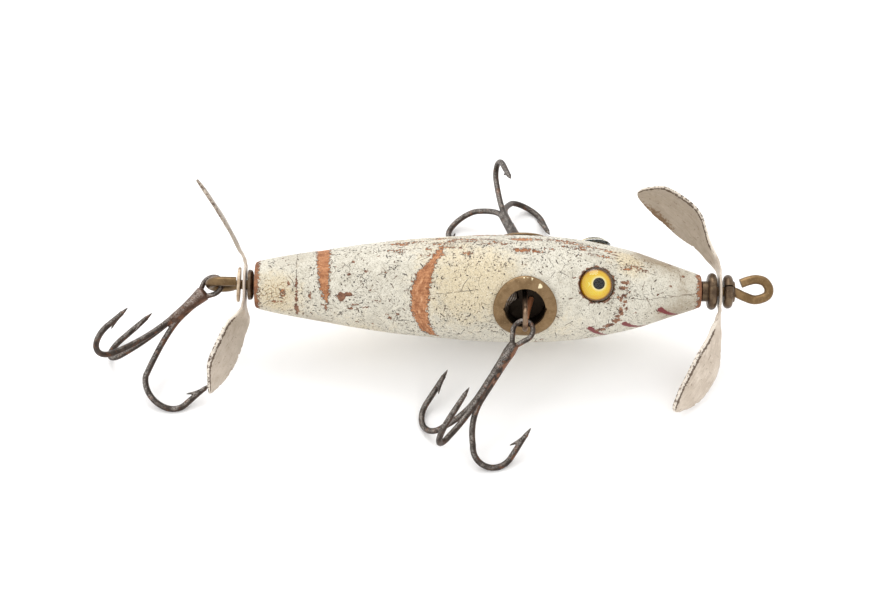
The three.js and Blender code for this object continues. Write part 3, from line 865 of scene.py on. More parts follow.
# Brown-grey places: dirt on the nose's top and elsewhere, and painted shade under the chin and along the
# lower sides.
DIRT_AND_SHADE_SPOTS = [
    (66.0, 132, 2.4, 0.7), (69.6, 130, 2.0, 0.6), (71, 2, 4.2, 0.6), (74.5, 0, 3, 0.4),
    (12, -46, 4, 0.45), (24, -46, 6, 0.4), (67, 118, 4, 0.8), (71.5, 108, 3.2, 0.5), (73.5, 75, 2.4, 0.3),
    (7, 118, 6, 0.5), (24, 130, 6, 0.4), (70, -35, 4, 0.3), (60, 75, 2, 0.5), (40, -80, 9, 0.5),
    (10, -40, 5, 0.5), (30, 215, 8, 0.4),
]
CRAZED_SPOTS = [(3.6, 30, 3.2, 1.1), (66, 88, 2.5, 0.7), (59, 160, 3, 0.8)]
CREAM_SPOTS = [  # yellowed
    (35, 45, 9, 0.9), (40, 62, 6, 0.7), (4, 25, 5, 1.1), (64, 85, 3, 0.8), (61.8, 98, 3, 0.5),
    (52, 10, 5, 0.5), (30, 150, 8, 0.7), (55, 170, 7, 0.6), (18, -60, 9, 0.8), (48, -90, 10, 0.7),
]
# Stained spots, given like worn ones
STAIN_SPOTS = [
    (14.95, 31.5, 0.75, 0.85), (16.2, 36, 0.7, 0.42), (9.6, 31, 0.35, 0.65), (7.3, 22, 0.3, 1.6),
    (7.3, 2, 0.4, 1.5), (7.3, 52, 0.16, 1.8), (12.3, 14, 0.25, 0.7), (6.0, 52, 0.25, 0.5),
    (17.6, 22, 0.5, 0.16), (19.2, 19, 0.7, 0.14), (20.9, 29, 0.5, 0.14), (22.3, 66, 0.6, 0.14),
    (62.6, 58, 0.75, 0.3), (62.4, 50, 0.7, 0.28), (61.9, 36, 0.3, 0.5), (62.5, 27, 0.3, 0.3),
    (62.0, 18, 0.4, 0.7), (61.5, 10, 0.5, 0.4), (63.1, 44, 0.25, 0.3), (61.4, 3, 0.8, 0.5),
    (60.2, -4, 1.1, 0.5), (58.9, -11, 1.0, 0.45), (62.3, 40, 0.5, 0.3), (62.7, 32, 0.35, 0.35),
    (62.9, 22, 0.25, 0.4), (62.2, 14, 0.3, 0.5), (66.1, 82, 0.7, 0.14), (61.0, 100, 0.5, 0.14),
]
# Red strokes under the chin: the x and angle of their two ends, and their half width
RED_STROKES = [
    (56.9, -4, 60.0, -34, 0.52), (62.7, -5, 67.0, -38, 0.52), (68.8, 10, 72.0, -26, 0.52),
    (56.4, 182, 59.4, 210, 0.26), (62.1, 182, 65.4, 214, 0.26), (68.3, 169, 71.2, 202, 0.3),
]
STROKE_TAPER = 0.6
BARE_AT_TAIL, BARE_AT_NOSE = 0.75, 0.8
SEAT_STAIN = 0.16
FAR_OUTSIDE = -9.0
LOWEST_ANGLE = -98  # where the angles round the body start again


def row_edges(angle, rows):
    """The x of both edges of a worn place at each angle round the body."""
    angles, left, right = np.array(sorted(rows)).T
    return np.interp(angle, angles, left), np.interp(angle, angles, right)


def row_distance(place, rows):
    """Millimetres inside a worn place that is given by rows, and negative outside it."""
    x, angle, radius = place
    left, right = row_edges(angle, rows)
    ends = np.minimum(angle - min(rows)[0], max(rows)[0] - angle) * np.radians(radius)
    return np.min([x - left, right - x, ends], 0)


def spot_distance(place, spots):
    """Millimetres inside the nearest of a list of worn spots, and negative outside them."""
    x, angle, radius = place
    best = np.full(len(x), FAR_OUTSIDE)
    for spot_x, spot_angle, half_x, half_round in spots:
        arc = np.radians(angle - spot_angle) * radius
        off = np.hypot((x - spot_x) / half_x, arc / half_round)
        best = np.maximum(best, (1 - off) * min(half_x, half_round))
    return best


def stroke_distance(place, strokes):
    """Millimetres inside the nearest of a list of tapering brush strokes, and negative outside them."""
    x, angle, radius = place
    best = np.full(len(x), FAR_OUTSIDE)
    for x1, angle1, x2, angle2, half in strokes:
        run_x, run_y = x2 - x1, np.radians(angle2 - angle1) * radius
        off_x, off_y = x - x1, np.radians(angle - angle1) * radius
        share = np.clip((off_x * run_x + off_y * run_y) / (run_x**2 + run_y**2), 0, 1)
        off = np.hypot(off_x - share * run_x, off_y - share * run_y)
        best = np.maximum(best, half * (1 - STROKE_TAPER * share) - off)
    return best


def soft_spots(place, spots):
    """The sum of soft spots, each with its strength at its middle."""
    x, angle, radius = place
    total = np.zeros(len(x))
    for spot_x, spot_angle, reach, strength in spots:
        arc = np.radians(around(angle, spot_angle)) * radius
        total += strength * np.exp(-((x - spot_x) ** 2 + arc**2) / reach**2)
    return total


def random_chips():
    """Small worn spots along the back and all over, the same on every run."""
    rng = np.random.default_rng(7)
    along_back = [
        (rng.uniform(24, 60), rng.normal(112, 14), rng.uniform(0.2, 1.1), rng.uniform(0.08, 0.22))
        for _ in range(34)
    ]
    anywhere = [
        (rng.uniform(2, 74), rng.uniform(-100, 262), rng.uniform(0.12, 0.5), rng.uniform(0.08, 0.24))
        for _ in range(120)
    ]
    return along_back, anywhere


def cloudy(points, size, seed):
    """Smooth noise from -1 to 1 at each point."""
    shift = Vector((seed * 7.3, seed * 3.1, seed * 5.7))
    return np.array([lumps.noise(Vector(p) / size + shift) for p in points])


def rounding(face, inwards, radius, turns):
    """The rounded edge between an end face of the wood and its side, as x and radius."""
    return [
        (face + inwards * RIM_ROUNDING * (1 - math.sin(t)), radius - RIM_ROUNDING * (1 - math.cos(t)))
        for t in turns
    ]


def body_profile():
    """The whole outline from the bottom of the tail's bore to the bottom of the nose's, as x and radius."""
    tail_radius, nose_radius = OUTLINE[0, 1], OUTLINE[-1, 1]
    turns = np.linspace(0, math.pi / 2, 6)[:-1]
    steps = np.linspace(OUTLINE[0, 0], OUTLINE[-1, 0], BODY_STEPS)
    tail_face = [(0.0, r) for r in np.linspace(WIRE_BORE, tail_radius - RIM_ROUNDING, 9)]
    nose_face = [(BODY_LENGTH, r) for r in np.linspace(nose_radius - RIM_ROUNDING, WIRE_BORE, 7)]
    bottom = BODY_LENGTH - BORE_DEPTH
    return [
        (BORE_DEPTH, ALMOST_AXIS), (BORE_DEPTH, WIRE_BORE), *tail_face,
        *rounding(0, 1, tail_radius, turns[::-1]), *zip(steps, body_radius(steps)),
        *rounding(BODY_LENGTH, -1, nose_radius, turns[1:]), *nose_face,
        (bottom, WIRE_BORE), (bottom, ALMOST_AXIS),
    ]


def body_mesh():
    """The turned wood with its bores, the eyes' seats and the cups' sockets."""
    rings = [
        np.column_stack([np.full(BODY_SIDES, x), circle(r, BODY_SIDES) * (-1, 1)]) for x, r in body_profile()
    ]
    holes = [
        ("eye", EYE_X, SEAT_RADIUS, body_radius(EYE_X) - SEAT_DEPTH),
        ("cup", CUP_X, CUP_TUBE + SOCKET_ROOM, CUP_FLOOR - SOCKET_DEEPER),
    ]
    cutters = [
        cylinder(radius, bottom, CUTTER_TOP, side_frame(x, side[place]), CUTTER_SIDES)
        for side in SIDES
        for place, x, radius, bottom in holes
    ]
    return cut(skin(rings), *cutters)


def wooden_body():
    points, faces = body_mesh()
    x, y, z = points.T
    radius = np.hypot(y, z)
    angle = (np.degrees(np.arctan2(z, -y)) - LOWEST_ANGLE) % 360 + LOWEST_ANGLE
    place = x, angle, radius
    on_skin = abs(radius - body_radius(x)) < SKIN_REACH
    on_skin |= (x < FACE_REACH) | (x > BODY_LENGTH - FACE_REACH)
    on_skin &= radius > WIRE_BORE + 0.05

    ragged = 0.22 * cloudy(points, 1.1, 1) + 0.16 * cloudy(points, 0.45, 2)
    along_back, anywhere = random_chips()
    bare = np.max([
        row_distance(place, HOOK_RASH), row_distance(place, WORN_BAND), spot_distance(place, BARE_SPOTS),
        BARE_AT_TAIL - x, x - BODY_LENGTH + BARE_AT_NOSE,
    ], 0) + ragged
    bare = np.maximum(bare, spot_distance(place, along_back) + ragged * 0.6)
    stain = spot_distance(place, STAIN_SPOTS + anywhere) + ragged * 0.6
    for side in SIDES:
        away = (points - [EYE_X, 0, 0]) @ onwards(side["eye"])
        seat_edge = SEAT_RADIUS + SEAT_STAIN - np.hypot(x - EYE_X, away) + ragged * 1.2
        stain = np.maximum(stain, np.where(points @ outwards(side["eye"]) < 0, FAR_OUTSIDE, seat_edge))
    left, right = row_edges(angle, HOOK_RASH)

    sink = PAINT_THICKNESS * (smoothstep(bare, -0.06, 0.1) + 0.6 * smoothstep(stain, -0.06, 0.1))
    sink = np.minimum(sink, PAINT_THICKNESS) - LUMP_HEIGHT * cloudy(points, 1.7, 3)
    scale = np.where(on_skin, 1 - sink / np.maximum(radius, 1), 1)
    points = np.column_stack([x, y * scale, z * scale])
    obj = piece("wooden_body", (points, faces), PAINTED_WOOD, stands_for=["body"])
    write_fields(
        obj, bare=bare, stain=stain, red=stroke_distance(place, RED_STROKES) + ragged * 0.3,
        swept=np.clip((x - left) / (right - left), -1, 2), inner=~on_skin,
        cream=soft_spots(place, CREAM_SPOTS), busy=soft_spots(place, BUSY_SPOTS),
        crazed=soft_spots(place, CRAZED_SPOTS), grimy=soft_spots(place, DIRT_AND_SHADE_SPOTS),
    )


wooden_body()


# Glass eyes: a clear dome over the painted iris


def dome_profile():
    """The dome, as distance outwards from the body's surface and radius."""
    curve = (GLASS_RADIUS**2 + GLASS_RISE**2) / (2 * GLASS_RISE)
    turns = np.linspace(0.004, math.asin(GLASS_RADIUS / curve), 14)
    front = [(GLASS_RISE - curve * (1 - math.cos(t)), curve * math.sin(t)) for t in turns]
    return front + [(-0.15, GLASS_RADIUS + 0.02), (-GLASS_DEPTH, GLASS_RADIUS - 0.1), (-GLASS_DEPTH, 0.01)]


def glass_eye(side):
    surface = (0, 0, body_radius(EYE_X))
    frame_out = side_frame(EYE_X, side["eye"]) @ basis((0, 0, 1), (0, 1, 0), (-1, 0, 0), surface)
    node = f"glass_eye_{side['name']}"
    piece(f"{node}_dome", lathe(dome_profile(), 64, frame_out), GLASS, stands_for=[node])
    front = [(IRIS_FRONT, r) for r in np.linspace(0.01, IRIS_DISC - 0.1, 26)]
    disc = [*front, (IRIS_FRONT - 0.04, IRIS_DISC), (IRIS_BACK, IRIS_DISC), (IRIS_BACK, 0.01)]
    points, faces = lathe(disc, 96, frame_out)
    iris = piece(f"{node}_iris", (points, faces), IRIS)
    across = np.stack([points[:, 0] - EYE_X, points @ onwards(side["eye"])], 1)
    # The far (left) eye's iris gets painted shade over its upper part.
    write_fields(
        iris, from_middle=np.linalg.norm(across - IRIS_SHIFT, axis=1),
        from_pupil=np.linalg.norm(across - PUPIL_SHIFT, axis=1),
        shaded=smoothstep(across[:, 1], 0.4, 1.5) * (side["name"] == "left"),
    )


for side in SIDES:
    glass_eye(side)


# Hook cups: a flange bent to the body, a threaded tube with a floor and a hexagon at the mouth


def hook_cup(side):
    turns = np.arange(CUP_SIDES) * 2 * math.pi / CUP_SIDES
    lift = body_radius(CUP_X) + FLANGE_LIFT
    mouth = lift + FLANGE_THICKNESS
    inner_floor = CUP_FLOOR + CUP_FLOOR_THICKNESS
    worn = 0.2 * np.sin(turns) ** 2
    hexagon = HEX_CORNER * math.cos(math.pi / 6) / np.cos(turns % (math.pi / 3) - math.pi / 6) - worn
    hex_hole = np.maximum(hexagon, CUP_BORE)
    threads = np.arange(mouth - HEX_DEPTH, inner_floor, -THREAD_PITCH / 4)

    def wall(angle, height):
        """The radius of the thread's crests, which lean in on one side towards the floor."""
        lean = np.exp(-(around(angle, THREAD_LEAN_AT) / THREAD_LEAN_WIDTH) ** 2)
        return CUP_BORE - THREAD_LEAN * lean * (threads[0] - height) / (threads[0] - threads[-1])

    def ring(radius, height, bend=0):
        """A ring of points, bent to the body by a share."""
        x, y = radius * np.cos(turns), radius * np.sin(turns)
        drop = bend * (mouth - np.sqrt(mouth**2 - y**2))
        slope = bend * (body_radius(CUP_X + x) - body_radius(CUP_X))
        return np.stack([x, y, height - drop + slope], 1)

    flange = [
        (CUP_TUBE, lift), (FLANGE_RADIUS - FLANGE_EDGE, lift), (FLANGE_RADIUS, lift + 0.12),
        (FLANGE_RADIUS, mouth - FLANGE_EDGE), (FLANGE_RADIUS - FLANGE_EDGE, mouth),
        (FLANGE_RADIUS * 0.55 + CUP_TUBE * 0.45, mouth + 0.03), (hex_hole + 0.22, mouth),
        (hex_hole + 0.03, mouth - 0.07),
    ]
    rings = [ring(radius, height, 1) for radius, height in flange]
    rings.append(ring(hex_hole, mouth - 0.25, 0.8))
    below = [(hex_hole, mouth - HEX_DEPTH + 0.1), (CUP_BORE, mouth - HEX_DEPTH)]
    for k, height in enumerate(threads):
        below.append((wall(np.degrees(turns), height) + THREAD_DEPTH * (k % 4 in (1, 2)), height))
    below += [
        (CUP_BORE, inner_floor), (CUP_MIDDLE, inner_floor), (CUP_MIDDLE, CUP_FLOOR), (CUP_TUBE, CUP_FLOOR),
    ]
    rings += [ring(radius, height) for radius, height in below]
    points, faces = skin(rings, closed=True)
    frame_out = side_frame(CUP_X, side["cup"])
    node = f"hook_cup_{side['name']}"
    mesh_data = moved(frame_out, points), faces
    cup = piece(f"{node}_brass", mesh_data, CUP_BRASS, stands_for=[node], sharp=50)

    x, y, z = points.T
    radius, angle = np.hypot(x, y), np.degrees(np.arctan2(y, x))
    inside = radius < CUP_BORE + THREAD_DEPTH + 0.01
    # The side of the threads that the light reaches, which gets painted highlights.
    lit = np.exp(-(around(angle, THREAD_LEAN_AT) / 38) ** 2) * (z > CUP_FLOOR + 1.2)
    lit_crest = lit * (radius < wall(angle, z) + THREAD_DEPTH / 2)
    flecks = np.max([np.exp(-((x - at_x) ** 2 + (y - at_y) ** 2) / 0.07) for at_x, at_y in FLECKS], 0)
    # Painted shade deeper in the cup, except on the lit thread crests, which get a painted highlight; cream
    # flecks on the flange.
    write_fields(
        cup, grime=inside * smoothstep(mouth - 0.5 - z, 0, 1.2) * (1 - lit_crest * 0.97),
        bright=inside * lit_crest * smoothstep(mouth - HEX_DEPTH - z, -0.1, 0.2),
        fleck=flecks * (z > mouth - 1.6) * ~inside,
    )


for side in SIDES:
    hook_cup(side)


# Wire hangers: a ring on a stem


def ring_height(side):
    return (side["hook"]["ring_out"] - CUP_FLOOR) / math.cos(math.radians(HANGER_LEAN))


def hook_hanger(side):
    height, foot, up = ring_height(side), CUP_FLOOR_THICKNESS - 0.1, -side["belly"]
    turns = np.radians(np.linspace(-10, 190, 30))
    end = [(0, up * HANGER_RING * math.cos(t), height + HANGER_RING * math.sin(t)) for t in turns]
    first = spline([(0, up * 1.95, foot), (0, up * 1.9, foot + 2.2), end[0]], 16)[:-1]
    second = spline([end[-1], (0.5, -up * 0.9, foot + 2.4), (1.15, up * 0.5, foot)], 16)[1:]
    points, faces = tube(np.concatenate([first, end, second]), HANGER_WIRE, 20)
    node = f"hook_hanger_{side['name']}"
    mesh_data = moved(hanger_frame(side), points), faces
    wire = piece(f"{node}_wire", mesh_data, HANGER_STEEL, stands_for=[node])
    rusted = smoothstep(points[:, 0], 0.2, 0.6)
    # Painted shade, darker deeper in the cup and weaker on the rusted strand.
    shade = 0.9 * smoothstep(height - 1.3 - points[:, 2], 0, 2.4)
    write_fields(wire, grime=shade * (1 - 0.85 * rusted), rusted=rusted)


for side in SIDES:
    hook_hanger(side)


# Brass line tie and tail eye


def in_plane(pairs, turn):
    """Flat pairs as points, in the plane of the lure's length and a direction round it."""
    return np.asarray(pairs, float) @ [LENGTHWISE, outwards(turn)]


def line_tie():
    stem = [(x, 0) for x in np.linspace(BODY_LENGTH - BRASS_IN_WOOD, LINE_TIE_ROUTE[0][0] - 0.1, 20)]
    path = in_plane([*stem, *spline(LINE_TIE_ROUTE, 120)], LINE_TIE_TURN)
    radii = np.full(len(path), BRASS_WIRE)
    radii[-1] *= 0.9
    piece("line_tie_wire", tube(path, radii, 28), AGED_BRASS, stands_for=["line_tie"])


def tail_eye():
    turns = np.radians(np.linspace(85, 275, 40))
    bend = [(TAIL_RING_X + TAIL_RING * math.cos(t), TAIL_RING * math.sin(t)) for t in turns]
    from_ring = np.linspace(TAIL_END_X - TAIL_RING_X, 0.3, 12)
    cut_end = [(TAIL_RING_X + x, TAIL_RING - 0.03 * x) for x in from_ring]
    neck = spline([bend[-1], (TAIL_RING_X + 1.5, -1.35), (TAIL_RING_X + 2.6, -0.35), (-2.3, 0)], 24)[1:]
    stem = [(x, 0) for x in np.linspace(-2.2, BRASS_IN_WOOD, 20)]
    points, faces = tube(in_plane([*cut_end, *bend, *neck, *stem], TAIL_RING_TURN), BRASS_WIRE, 26)
    wire = piece("tail_eye_wire", (points, faces), AGED_BRASS, stands_for=["tail_eye"])
    # Painted shade, even over the whole wire, tones down the upward-facing tail eye.
    write_fields(wire, grime=np.full(len(points), 0.3))


line_tie()
tail_eye()


# Beads and washers


def bead_profile(bead):
    """A rounded bead with a neck at one end, as x and radius, round to where it started."""
    near, far, end, neck = bead["from"], bead["to"], bead["neck_end"], bead["neck_radius"]
    bulge, bore = (far - near) / 2, BEAD_BORE
    round_part = [
        (near + bulge * (1 - math.cos(t)), bead["radius"] - bulge * (1 - math.sin(t)))
        for t in np.linspace(0, math.pi, 17)
    ]
    if end < near:
        return [(end, bore), (end, neck - 0.1), (end + 0.1, neck), (near, neck), *round_part, (far, bore)]
    return [(near, bore), *round_part, (far, neck), (end - 0.1, neck), (end, neck - 0.1), (end, bore)]


def rear_cup_profile():
    front, step, back, neck, radius = REAR_CUP.values()
    dome = [
        (front + (step - front) * (1 - math.cos(t)), neck + (radius - neck) * math.sin(t))
        for t in np.linspace(0, math.pi / 2, 7)
    ]
    return [(front, BEAD_BORE), *dome, (back + 0.08, radius), (back, radius - 0.08), (back, BEAD_BORE)]


def rear_washer():
    half, bore, outer = REAR_WASHER["thickness"] / 2, BRASS_WIRE + 0.15, REAR_WASHER["radius"]
    rim = [(-half * math.cos(t), outer - 0.2 + 0.2 * math.sin(t)) for t in np.linspace(0, math.pi, 9)]
    tilt = np.array(Matrix.Rotation(math.radians(REAR_WASHER["tilt"]), 4, "Y"))
    tilt[0, 3] = REAR_WASHER["x"]
    return lathe([(-half, bore), *rim, (half, bore)], 64, tilt)


def beads_and_washers():
    def turned(name, node, mesh_data, material=DARK_BRASS):
        piece(name, mesh_data, material, stands_for=[node])

    seam, half_seam = math.radians(SEAM_ANGLE), SEAM_WIDTH / 2 / OUTER_BEAD["radius"]
    span = seam + half_seam, seam - half_seam + 2 * math.pi
    turned("front_inner_bead_turned", "front_inner_bead", lathe(bead_profile(INNER_BEAD), 72))
    turned("front_outer_bead_rolled", "front_outer_bead", lathe(bead_profile(OUTER_BEAD), 72, span=span))
    turned("rear_cup_washer_pressed", "rear_cup_washer", lathe(rear_cup_profile(), 64))
    turned("rear_washer_brass", "rear_washer", rear_washer(), PLATED_BRASS)


beads_and_washers()


# Spinner blades

# Shares of a blade's length at which its width is given, and the fields that a sheet's finish asks for: wear
# with some painted shade, a painted highlight on the rim, and flat coordinates
WIDTH_KNOTS = np.array([0, 0.12, 0.3, 0.5, 0.68, 0.85, 1])
WEAR = "rim", "chipped", "rusty", "shade_and_dull", "along", "across"


def blade_rows(blade, hub_x):
    """Rows from the root to the tip of one blade: middle, chord, face, half width, hollow and share."""
    neck, root, shoulder, tip = blade["shares"]
    widths = np.array([0.4, neck, root, 0.98, 1, shoulder, tip]) * blade["half"]
    out, across = outwards(blade["angle"]), onwards(blade["angle"])
    stations = np.linspace(0, 1, BLADE_STATIONS + 1)
    step = blade["length"] / BLADE_STATIONS
    x, reach = hub_x + CAD_SHEET / 2, BLADE_ROOT
    rows = []
    for s, width in zip(stations, uneven_spline(WIDTH_KNOTS, widths, stations)):
        lean = math.radians(np.interp(s, [0, 1], blade["sweep"])) * smoothstep(s, 0, 0.12)
        twist = math.radians(blade["pitch"]) * smoothstep(s, 0.02, 0.3)
        along = math.cos(lean) * out - math.sin(lean) * LENGTHWISE
        forward = math.cos(lean) * LENGTHWISE + math.sin(lean) * out
        chord = math.sin(twist) * forward - math.cos(twist) * across
        middle = x * LENGTHWISE + reach * out + chord * blade["skew"] * width * smoothstep(s, 0.05, 0.4)
        hollow = 0.12 * width * smoothstep(s, 0.05, 0.3)
        rows.append([*middle, *chord, *unit(np.cross(along, chord)), width, hollow, s])
        x -= math.sin(lean) * step
        reach += math.cos(lean) * step
    return spline(rows, BLADE_STEPS)


def sheet_rows(hub_x, blades):
    """Rows from the tip of the first blade across the hub to the tip of the second."""
    first, second = (blade_rows(blade, hub_x) for blade in blades)
    second[:, 3:6] *= -1  # the chords of both blades point the same way across the hub
    centre = np.concatenate([
        (hub_x + CAD_SHEET / 2) * LENGTHWISE, unit(first[0, 3:6] + second[0, 3:6]),
        unit(first[0, 6:9] + second[0, 6:9]), [HUB_RADIUS, 0, 0],
    ])
    shares = np.linspace(0, 1, 13)[1:-1, None]
    inner, outer = first[0] * (1 - shares) + centre * shares, centre * (1 - shares) + second[0] * shares
    return np.concatenate([first[::-1], inner, [centre], outer, second])


def row_wear(front, second, share, width, at, lit):
    """The wear across one row of a blade, with its painted rim highlight and painted shade: of the front
    spinner or the rear one, its second blade or not.
    """
    inset = np.where(lit > 0, width - abs(at), -FAR_OUTSIDE)
    # A painted highlight along the edge on the lit side.
    rim = smoothstep(-inset, -0.62, -0.5) * smoothstep(share, 0.1, 0.25) * (front or not second)
    chipped = 1.15 * np.exp(-((inset - 0.6) / 0.22) ** 2) * smoothstep(share, 0.18, 0.3)
    chipped += 0.5 * np.exp(-((width - abs(at)) / 0.25) ** 2) * smoothstep(share, 0.3, 0.5)
    rusty = np.exp(-((width + lit * abs(at)) / 1.3) ** 2 - ((share - 0.74) / 0.16) ** 2)
    rusty = rusty * (1.35 * second if front else 0.5)
    # Greyer, most on the upper blades, where it stands for painted shade.
    shade_and_dull = (0.45 * second if front else 0.4 + 0.4 * second) * smoothstep(share, 0.1, 0.3) * (1 - rim)
    along = np.full(len(at), share * 20 * (1 if second else -1))
    return np.array([rim, chipped, rusty, shade_and_dull, along, at])


def propeller(name, hub_x, blades, seed):
    """Both blades and the hub between them, as one bent sheet with a hole."""
    rows = sheet_rows(hub_x, blades)
    hub = np.hypot(rows[:, 1], rows[:, 2])
    disc = np.sqrt(np.clip(HUB_RADIUS**2 - hub**2, 0, None))
    share = rows[:, 11]
    widths = np.maximum(np.where(share < 0.2, disc, 0), rows[:, 9] * (hub > 1.5))
    widths *= np.sqrt(1 - np.clip((share - (1 - TIP_ROUND)) / TIP_ROUND, 0, 0.995) ** 2)
    nicks = np.random.default_rng(seed).normal(0, 1, len(rows))
    nicks = NICK_DEPTH * abs(np.convolve(nicks, [0.3, 0.5, 0.3], "same"))
    nicks *= (NICKED_FROM < share) & (share < NICKED_TO)
    front, u = name == "front", np.linspace(-1, 1, 33)
    rings, wear = [], []
    for k, (row, width) in enumerate(zip(rows, widths)):
        middle, chord, face, hollow = row[:3], row[3:6], row[6:9], row[10]
        second = k >= len(rows) - BLADE_STEPS - 1
        lit = np.sign(u * chord[0]) * (1 if second and front else -1)
        at = u * (width - nicks[k] * np.where(lit < 0, 1, 0.15))
        edge = np.clip((abs(at) - (width - EDGE_WIDTH)) / EDGE_WIDTH, 0, 1)
        half = np.outer(SHEET / 2 * np.sqrt(1 - 0.96 * edge**2), face)
        spine = middle + np.outer(at, chord) + np.outer(hollow * (1 - u**2), face)
        rings.append([*(spine + half), *(spine - half)[::-1]])
        row_values = row_wear(front, second, share[k], width, at, lit)
        wear.append(np.concatenate([row_values, row_values[:, ::-1]], 1))
    rings = np.array(rings)
    count = rings.shape[1]
    flat = rings.reshape(-1, 3)
    dented = DENT_DEPTH * np.exp(-((hub - DENTS_AT) / DENTS_REACH) ** 2)
    dents = np.repeat(dented, count) * cloudy(flat, 1.4, seed) + WAVE_HEIGHT * cloudy(flat, 3.0, seed + 1)
    dents *= np.repeat(smoothstep(hub, *FLAT_HUB), count)
    flat = flat + np.repeat(rows[:, 6:9], count, axis=0) * dents[:, None]
    hole = cylinder(HUB_HOLE, hub_x - 1, hub_x + 2, basis((0, 1, 0), (0, 0, 1), LENGTHWISE), 48)
    bored = cut(skin(flat.reshape(rings.shape)), hole)
    node, body = f"{name}_propeller", f"{name}_spinner"
    sheet = piece(f"{node}_sheet", bored, NICKEL, body, stands_for=[node], sharp=60)
    lookup = KDTree(len(flat))
    for k, point in enumerate(flat):
        lookup.insert(point, k)
    lookup.balance()
    nearest = [lookup.find(point)[1] for point in bored[0]]
    write_fields(sheet, **dict(zip(WEAR, np.concatenate(wear, 1)[:, nearest])))


propeller("front", FRONT_HUB_X, FRONT_BLADES, 21)
propeller("rear", REAR_HUB_X, REAR_BLADES, 31)


# Treble hooks

TIP_MARKS = np.array([(0, 0), (0, -2.3), (0.05, -4.1), (0.15, -5.8)])  # the straight end, from the bend
POINT_TAPER = [(0, 0.05), (0.6, 0.22), (1.8, 0.42), (3.6, 0.49), (4.6, POINT_WIRE)]  # from the tip, radius
DRAWN_AXIS_HEIGHT = 12.5  # of the lure's axis over the surface, when the hooks' rest was worked out
HOOK_VOXEL, HOOK_SMOOTHING = 0.075, 3
# The side on which the shanks rust, and the side, turned to the fill light, that gets painted highlights.
RUSTY_SIDE, HIGHLIGHT_SIDE = unit(np.array([0.85, -0.25, -0.3])), unit(np.array([-0.5, -0.35, 0.8]))


def hook_line(shank, point, flare_steps, bend_steps, tip_steps=1):
    """The wire of one point, as pairs of distance from the shank's middle and distance from the eye."""
    turns = np.radians(BEND_START * (1 - np.arange(bend_steps + 1) / bend_steps))
    bend = np.stack([np.cos(turns), np.sin(turns)], 1) * BEND_RADIUS + (BEND_OUT, BEND_DOWN)
    t = np.linspace(0, 1, flare_steps + 1)[:, None]
    start, corner = (SHANK_OFFSET, point.flare_start), (SHANK_OFFSET, point.flare_pull)
    flare = (1 - t) ** 2 * start + 2 * t * (1 - t) * corner + t * t * bend[0]
    marks = TIP_MARKS * (1, 1 - point.longer / TIP_MARKS[-1, 1]) + bend[-1]
    steps = np.arange(1, 3 * tip_steps + 1) / tip_steps
    tip = np.stack([np.interp(steps, range(4), column) for column in marks.T], 1)
    free = np.concatenate([flare, bend[1:], tip])
    return free * (point.spread, point.reach) + (0, shank + point.slide)


def resting_drop(eye_height, lines):
    """The drop of the shank at which the bends of the lower points rest on the surface."""
    low, high = 0.0, math.radians(80)
    for _ in range(30):
        drop = (low + high) / 2
        lowest = min(
            np.min(line[:, 0] * math.cos(math.radians(turn)) * math.cos(drop) - line[:, 1] * math.sin(drop))
            for turn, line in lines
        )
        if eye_height + lowest > HOOK_WIRE + 0.01:
            low = drop
        else:
            high = drop
    return low


def resting(hook, lines, ring, ring_face):
    """Where a hook rests with its eye linked in a ring: the eye's middle, and down, up and aside."""
    heading = math.radians(hook["heading"])
    level = np.array([math.cos(heading), math.sin(heading), 0])
    along, across = hook["in_ring"]
    drop = math.radians(25)
    for _ in range(12):
        down = level * math.cos(drop) - np.array([0, 0, math.sin(drop)])
        up = level * math.sin(drop) + np.array([0, 0, math.cos(drop)])
        shared = unit(np.cross(ring_face, up))
        shared *= math.copysign(1, shared @ down)
        crossing = np.cross(up, shared)
        crossing *= math.copysign(1, crossing @ down)
        eye = ring + shared * along + crossing * across
        pose = eye, down, up, np.cross(down, up)
        drop = resting_drop(eye[2] + DRAWN_AXIS_HEIGHT, lines)
    return pose


def hook_wires(hook, eye, down, up, aside):
    """The closed tubes that a hook is welded from: its eye, its solder, and each point with its barb."""
    def in_hook(pairs, out):
        return eye + np.asarray(pairs, float) @ [out, down]

    turns = np.radians(np.linspace(155, 385, 44))
    loop = HOOK_EYE_RADIUS * np.stack([np.cos(turns), np.sin(turns)], 1)
    legs = spline([loop[-1], (1.0, 1.75), (0.35, 3.0), (0.3, 4.4)], 16)[1:]
    parts = [tube(in_hook([*legs[::-1] * (-1, 1), *loop, *legs], aside), HOOK_WIRE * 0.98, 14)]
    start, first, second = hook["solder"]
    solder = [(0, start), (0, start + 0.55), (0, 4.3), (0, 6.0), (0, 8.7), (0, 10.2)]
    parts.append(tube(in_hook(solder, aside), [first, second, 1.05, 0.9, 0.84, 0.4], 18))
    for point in hook["points"]:
        turn = math.radians(point.turn)
        out = up * math.cos(turn) + aside * math.sin(turn)
        line = hook_line(hook["shank"], point, 14, 30, 8)
        straight = np.linspace((SHANK_OFFSET, 3.2), line[0], 20)[:-1]
        line = np.concatenate([straight, line])
        radii = np.interp(np.linalg.norm(line - line[-1], axis=1), *np.array(POINT_TAPER).T)
        radii[: len(straight) + 20] = POINT_WIRE
        parts.append(tube(in_hook(line, out), radii, 14))
        barb = spline(line[-1] + [(-0.05, 1.3), (-0.32, 2.6), (-BARB_RISE, BARB_FROM_POINT)], 12)
        parts.append(tube(in_hook(barb, out), np.interp(np.arange(13), [0, 6, 12], [0.42, 0.4, 0.08]), 12))
    return parts


